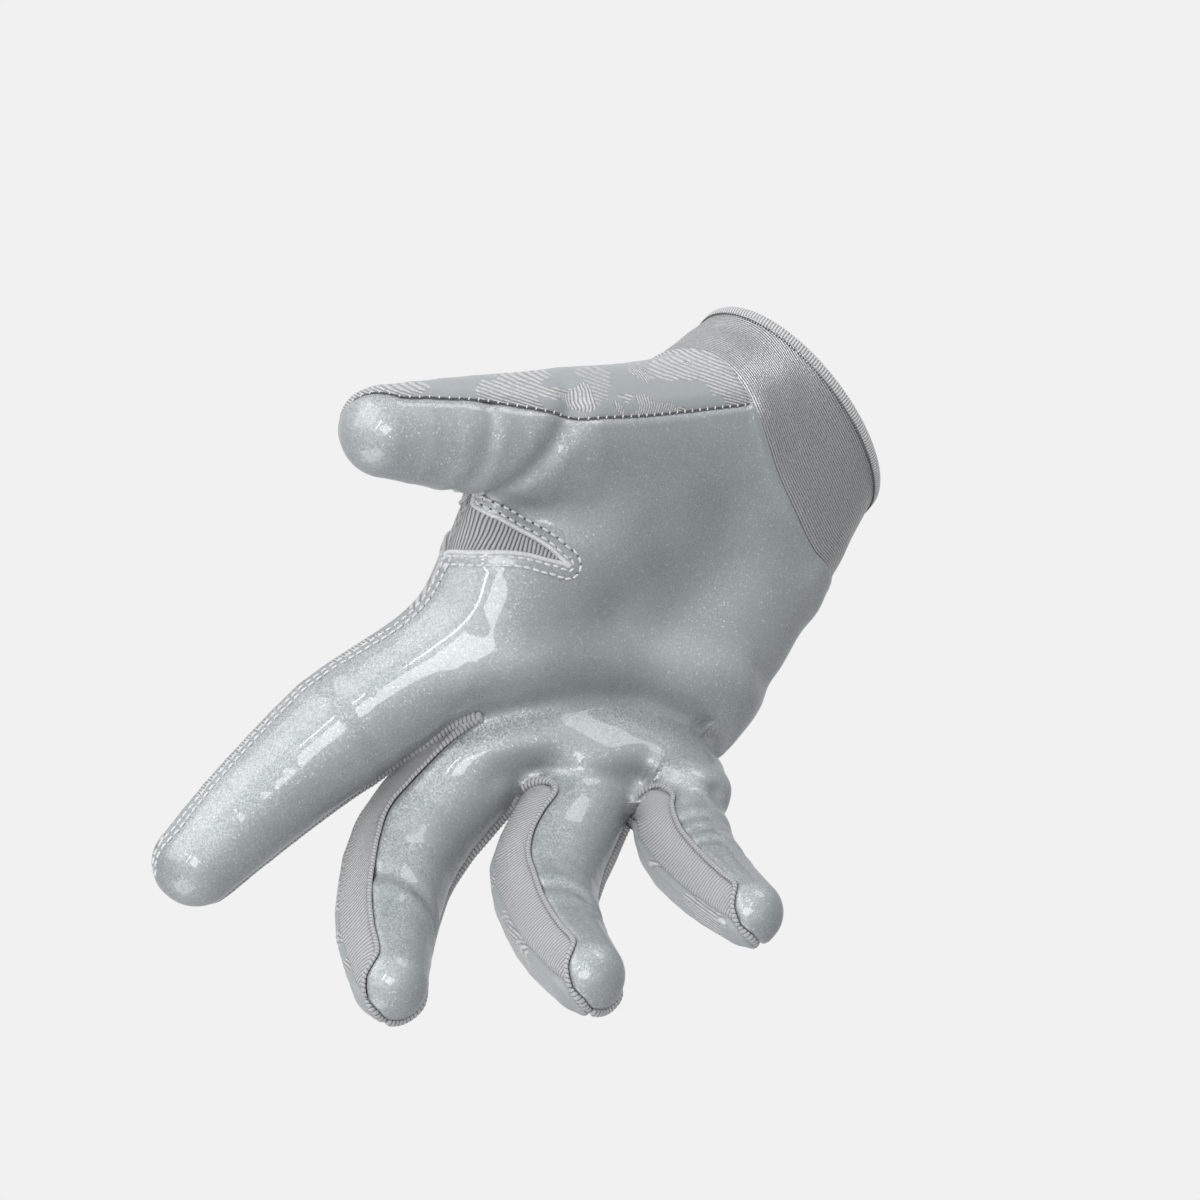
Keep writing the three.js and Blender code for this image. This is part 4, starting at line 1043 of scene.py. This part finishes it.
def make_binding():
    """The oversewn rim: an oval tube with a ridge for each wrap of thread."""
    ring = onto_skin(WRIST_RING * (1, 1, 0) + (0, 0, -BINDING_HEIGHT / 2), 6, flat=True)
    ring = np.concatenate([ring, ring[:1]])
    ring, at = resample(ring, 0.12)
    ring = ring[:-1]
    _, slope = skin_slope(ring)
    normals = unit(slope * (1, 1, 0))
    centre = ring - normals * KNIT_WALL / 2
    wraps = round(at[-1] / WRAP_PITCH)
    phase = np.arange(len(ring)) / len(ring) * wraps
    sides = 16
    turn = np.arange(sides) / sides * 2 * math.pi
    ridge = 0.78 + 0.22 * np.abs(np.sin(math.pi * (phase[:, None] + 0.2 * np.sin(turn)[None]))) ** 0.6
    half_wall = KNIT_WALL / 2 + BINDING_PROUD
    out = normals[:, None] * (ridge * half_wall * np.cos(turn))[..., None]
    rise = (ridge * BINDING_HEIGHT / 2 * np.sin(turn))[..., None] * np.array([0, 0, 1.0])
    points = centre[:, None] + out + rise
    points = np.concatenate([points, points[:1]])
    uv = np.stack(np.broadcast_arrays(np.arange(len(points))[:, None] / len(ring) * wraps * WRAP_PITCH,
                                      0.2 * np.sin(turn)), -1).reshape(-1, 2)
    index = np.arange(len(points) * sides).reshape(-1, sides)
    a, d = index[:-1], index[1:]
    faces = np.stack([a, d, np.roll(d, -1, axis=1), np.roll(a, -1, axis=1)], -1).reshape(-1, 4)
    return make_mesh("wrist_binding", points.reshape(-1, 3), faces, uv)


dress(make_binding(), WRAP, "binding_thread", "cuff_binding")


# ---- stitches
def stitches(name, path, pitch, length, radius, material, lift=0.05, turn=0.0, slot="binding_thread"):
    """A capsule for each stitch along a path on the skin, turned about the skin's normal by an angle."""
    even, _ = resample(path, pitch)
    even = onto_skin(even, 3)
    _, slope = skin_slope(even)
    normals = unit(slope)
    tangent = unit(np.gradient(even, axis=0))
    side = unit(np.cross(normals, tangent))
    c, s = math.cos(math.radians(turn)), math.sin(math.radians(turn))
    run = tangent * c + side * s
    wide = side * c - tangent * s
    ends = np.linspace(-1, 1, 9)
    swell = np.sqrt(np.maximum(1 - ends**4, 0.02))
    angle = np.arange(8) / 8 * 2 * math.pi
    x = np.repeat(ends * length / 2, 8)
    y = np.outer(swell * radius, np.cos(angle)).ravel()
    z = np.outer(swell * radius, np.sin(angle)).ravel() + np.repeat(radius * 0.5 * (1 - ends**2), 8)
    centre = even + normals * lift
    points = (centre[:, None] + run[:, None] * x[None, :, None] + wide[:, None] * y[None, :, None]
              + normals[:, None] * z[None, :, None])
    index = np.arange(72).reshape(9, 8)
    before, after = index[:-1], index[1:]
    faces = np.stack([before, np.roll(before, -1, 1), np.roll(after, -1, 1), after], -1).reshape(-1, 4)
    faces = (np.arange(len(even))[:, None, None] * 72 + faces[None]).reshape(-1, 4)
    piece = make_mesh(name, points.reshape(-1, 3), faces)
    return dress(piece, material, slot)


rim_line = onto_skin(WRIST_RING * (1, 1, 0) + (0, 0, -BINDING_HEIGHT - 0.15), 6, flat=True)
# Dark dashes below the binding: painted shade in the stitch holes.
stitches("binding_hole_shade", rim_line, 0.75, 0.42, 0.26, PAINTED_SEAM_SHADE, lift=0.02)


def beside_path(path, gap, towards):
    """The path moved sideways in the skin, to the side where a point lies."""
    _, slope = skin_slope(path)
    side = unit(np.cross(unit(slope), unit(np.gradient(path, axis=0))))
    sign = 1 if (side * (towards - path)).sum() > 0 else -1
    return onto_skin(path + side * sign * gap, 4)


THUMB_EDGE = web_edge(WEB_CORNER_THUMB)
INDEX_EDGE = web_edge(WEB_CORNER_INDEX)


def notch_path(gap):
    """Round the wedge's tip at a distance from its edges, from the thumb's side to the index finger's."""
    thumb_side = beside_path(THUMB_EDGE, gap, THUMB.beside(THUMB_LEVEL_STATION, THUMB_PAD))[1:][::-1]
    index_side = beside_path(INDEX_EDGE, gap, palm_point((0.95, -0.5, 0.4)))[1:]
    tip = THUMB_EDGE[0]
    first, last = unit(thumb_side[-1] - tip), unit(index_side[0] - tip)
    away = unit(-unit(THUMB_EDGE[4] - tip) - unit(INDEX_EDGE[4] - tip))
    bend = []
    for share in np.linspace(0, 1, 7):
        lean = mix(first, away, share * 2) if share < 0.5 else mix(away, last, share * 2 - 1)
        bend.append(tip + unit(lean) * gap)
    return onto_skin(np.concatenate([thumb_side[:-2], bend, index_side[2:]]), 3)


RIM_GAP = 0.5
rim, _ = resample(notch_path(RIM_GAP), 0.3)
_, rim_slope = skin_slope(rim)
dress(sweep("web_rim", rim, unit(rim_slope), 0.55), SILICONE_EDGE, "silicone_palm")
back_edges = [web_edge(corner, False) for corner in (WEB_CORNER_THUMB, WEB_CORNER_INDEX)]
back_rim, _ = resample(np.concatenate([back_edges[0][:0:-1], back_edges[1]]), 0.3)
_, rim_slope = skin_slope(back_rim)
dress(sweep("web_back_rim", back_rim, unit(rim_slope), 0.45), CLOTH_EDGE, "jacquard_back")

# The dark dashes between the pale stitches are painted shade in the stitch holes.
for number, gap in enumerate((1.5, 3.4)):
    stitches(f"web_stitches_{number}", notch_path(gap), 2.1, 1.75, 0.3, PALE_THREAD, lift=0.1)
    stitches(f"web_hole_shade_{number}", notch_path(gap)[2:], 2.1, 1.0, 0.25, PAINTED_SEAM_SHADE, lift=0.05)


def seam_line(line, front=True):
    """A line of a panel past the web, out to the tip of its finger."""
    finger = min(3, int(line) - 1)
    start = PALM_ROWS + WEB_ROWS
    rows = [palm_line_point(line, front, row) for row in range(start, SPLIT_ROW + 1)]
    rows += [finger_line_point(line, finger, front, row) for row in range(1, DIGIT_ROWS + TIP_ROWS)]
    return onto_skin(refine(onto_skin(np.array(rows)), 6), 3)


INDEX_SEAM = seam_line(1)
INDEX_PAD = FINGERS[0].beside(0.5 * FINGERS[0].length, 0)
# The dark dashes between the pale stitches are painted shade in the stitch holes.
for number, gap in enumerate((1.3, 3.4)):
    row = beside_path(INDEX_SEAM, gap, INDEX_PAD)
    stitches(f"index_stitches_{number}", row, 2.1, 1.75, 0.28, PALE_THREAD, lift=0.05)
    stitches(f"index_hole_shade_{number}", row[1:], 2.1, 1.0, 0.22, PAINTED_SEAM_SHADE, lift=0.0)

THUMB_SEAM = [palm_line_point(0, True, row) for row in range(PALM_ROWS)]
THUMB_SEAM += [thumb_line_point(0, True, row) for row in range(WEB_ROWS + THUMB_ROWS + TIP_ROWS)]
THUMB_SEAM = onto_skin(refine(onto_skin(np.array(THUMB_SEAM)), 8), 3)
stitches("thumb_stitches", THUMB_SEAM, 2.2, 0.8, 0.17, PALE_THREAD, lift=-0.12, turn=70)
# A painted shadow along the thumb seam: near-black capsules sunk into it.
stitches("thumb_shadow", THUMB_SEAM, 1.05, 1.2, 0.22, PAINTED_SEAM_SHADE, lift=-0.4)


# ---- the camera, the light and the floor
CAMERA_RIGHT = (0.454, -0.6439, 0.6159)
CAMERA_UP = (-0.7497, 0.0974, 0.6545)
CAMERA_BACK = (-0.4814, -0.7589, -0.4385)
VIEW_AXES = Matrix((CAMERA_RIGHT, CAMERA_UP, CAMERA_BACK)).transposed()
CAMERA_PLACE = Vector((-0.4571, -0.717, -0.4851))
GLOVE_CENTRE = Vector((-0.015, -0.01, -0.085))

camera_data = bpy.data.cameras.new("camera")
camera_data.lens = 125.96
camera_data.sensor_width = 36
camera_data.clip_start = 0.01
camera = bpy.data.objects.new("camera", camera_data)
camera.matrix_world = Matrix.Translation(CAMERA_PLACE) @ VIEW_AXES.to_4x4()
bpy.context.scene.collection.objects.link(camera)
bpy.context.scene.camera = camera


def soft_light(name, place, size, power, colour=(1, 1, 1)):
    """A soft box that faces the glove. Its place is right, up and back in the photograph's view."""
    data = bpy.data.lights.new(name, "AREA")
    data.shape = "RECTANGLE"
    data.size, data.size_y = size
    data.energy = power
    data.color = colour
    lamp = bpy.data.objects.new(name, data)
    lamp.location = GLOVE_CENTRE + VIEW_AXES @ Vector(place)
    lamp.rotation_euler = (lamp.location - GLOVE_CENTRE).to_track_quat("Z", "Y").to_euler()
    bpy.context.scene.collection.objects.link(lamp)


soft_light("key_light", (-0.8, 0.65, 0.55), (1.1, 1.1), 7)
soft_light("top_light", (0.6, 1.0, 0.25), (0.6, 0.4), 2.5)
soft_light("front_light", (0, 0.1, 1.2), (0.45, 0.45), 4)
soft_light("low_light", (-0.5, -0.9, 0.35), (0.9, 0.6), 3)
soft_light("strip_light", (-0.3, 0.3, 1.0), (0.06, 0.45), 1)

world = bpy.data.worlds.new("studio")
world.use_nodes = True
bpy.context.scene.world = world
tree = world.node_tree
tree.nodes.clear()
shown = tree.nodes.new("ShaderNodeBackground")
shown.inputs["Color"].default_value = (0.879, 0.879, 0.879, 1)
fill = tree.nodes.new("ShaderNodeBackground")
fill.inputs["Color"].default_value = (0.98, 1, 1.01, 1)
sky = tree.nodes.new("ShaderNodeTexCoord")
side = tree.nodes.new("ShaderNodeVectorMath")
side.operation = "DOT_PRODUCT"
side.inputs[1].default_value = VIEW_AXES @ Vector((-0.8, 0.5, 0.3))
level = tree.nodes.new("ShaderNodeMapRange")
for socket, value in (("From Min", -1), ("From Max", 1), ("To Min", 0.32), ("To Max", 0.96)):
    level.inputs[socket].default_value = value
tree.links.new(sky.outputs["Generated"], side.inputs[0])
tree.links.new(side.outputs["Value"], level.inputs["Value"])
tree.links.new(level.outputs["Result"], fill.inputs["Strength"])
choice = tree.nodes.new("ShaderNodeMixShader")
path = tree.nodes.new("ShaderNodeLightPath")
output = tree.nodes.new("ShaderNodeOutputWorld")
tree.links.new(path.outputs["Is Camera Ray"], choice.inputs[0])
tree.links.new(fill.outputs[0], choice.inputs[1])
tree.links.new(shown.outputs[0], choice.inputs[2])
tree.links.new(choice.outputs[0], output.inputs["Surface"])

floor_mesh = bpy.data.meshes.new("floor")
floor_mesh.from_pydata([(-60, -60, -2.5), (60, -60, -2.5), (60, 60, -2.5), (-60, 60, -2.5)], [], [(0, 1, 2, 3)])
floor = bpy.data.objects.new("floor", floor_mesh)
bpy.context.scene.collection.objects.link(floor)
pale = Finish("pale_floor")
pale.set(pale.shader, {"Base Color": (0.9, 0.9, 0.9, 1), "Roughness": 0.9})
floor_mesh.materials.append(pale.material)

bpy.context.scene.view_settings.view_transform = "Standard"
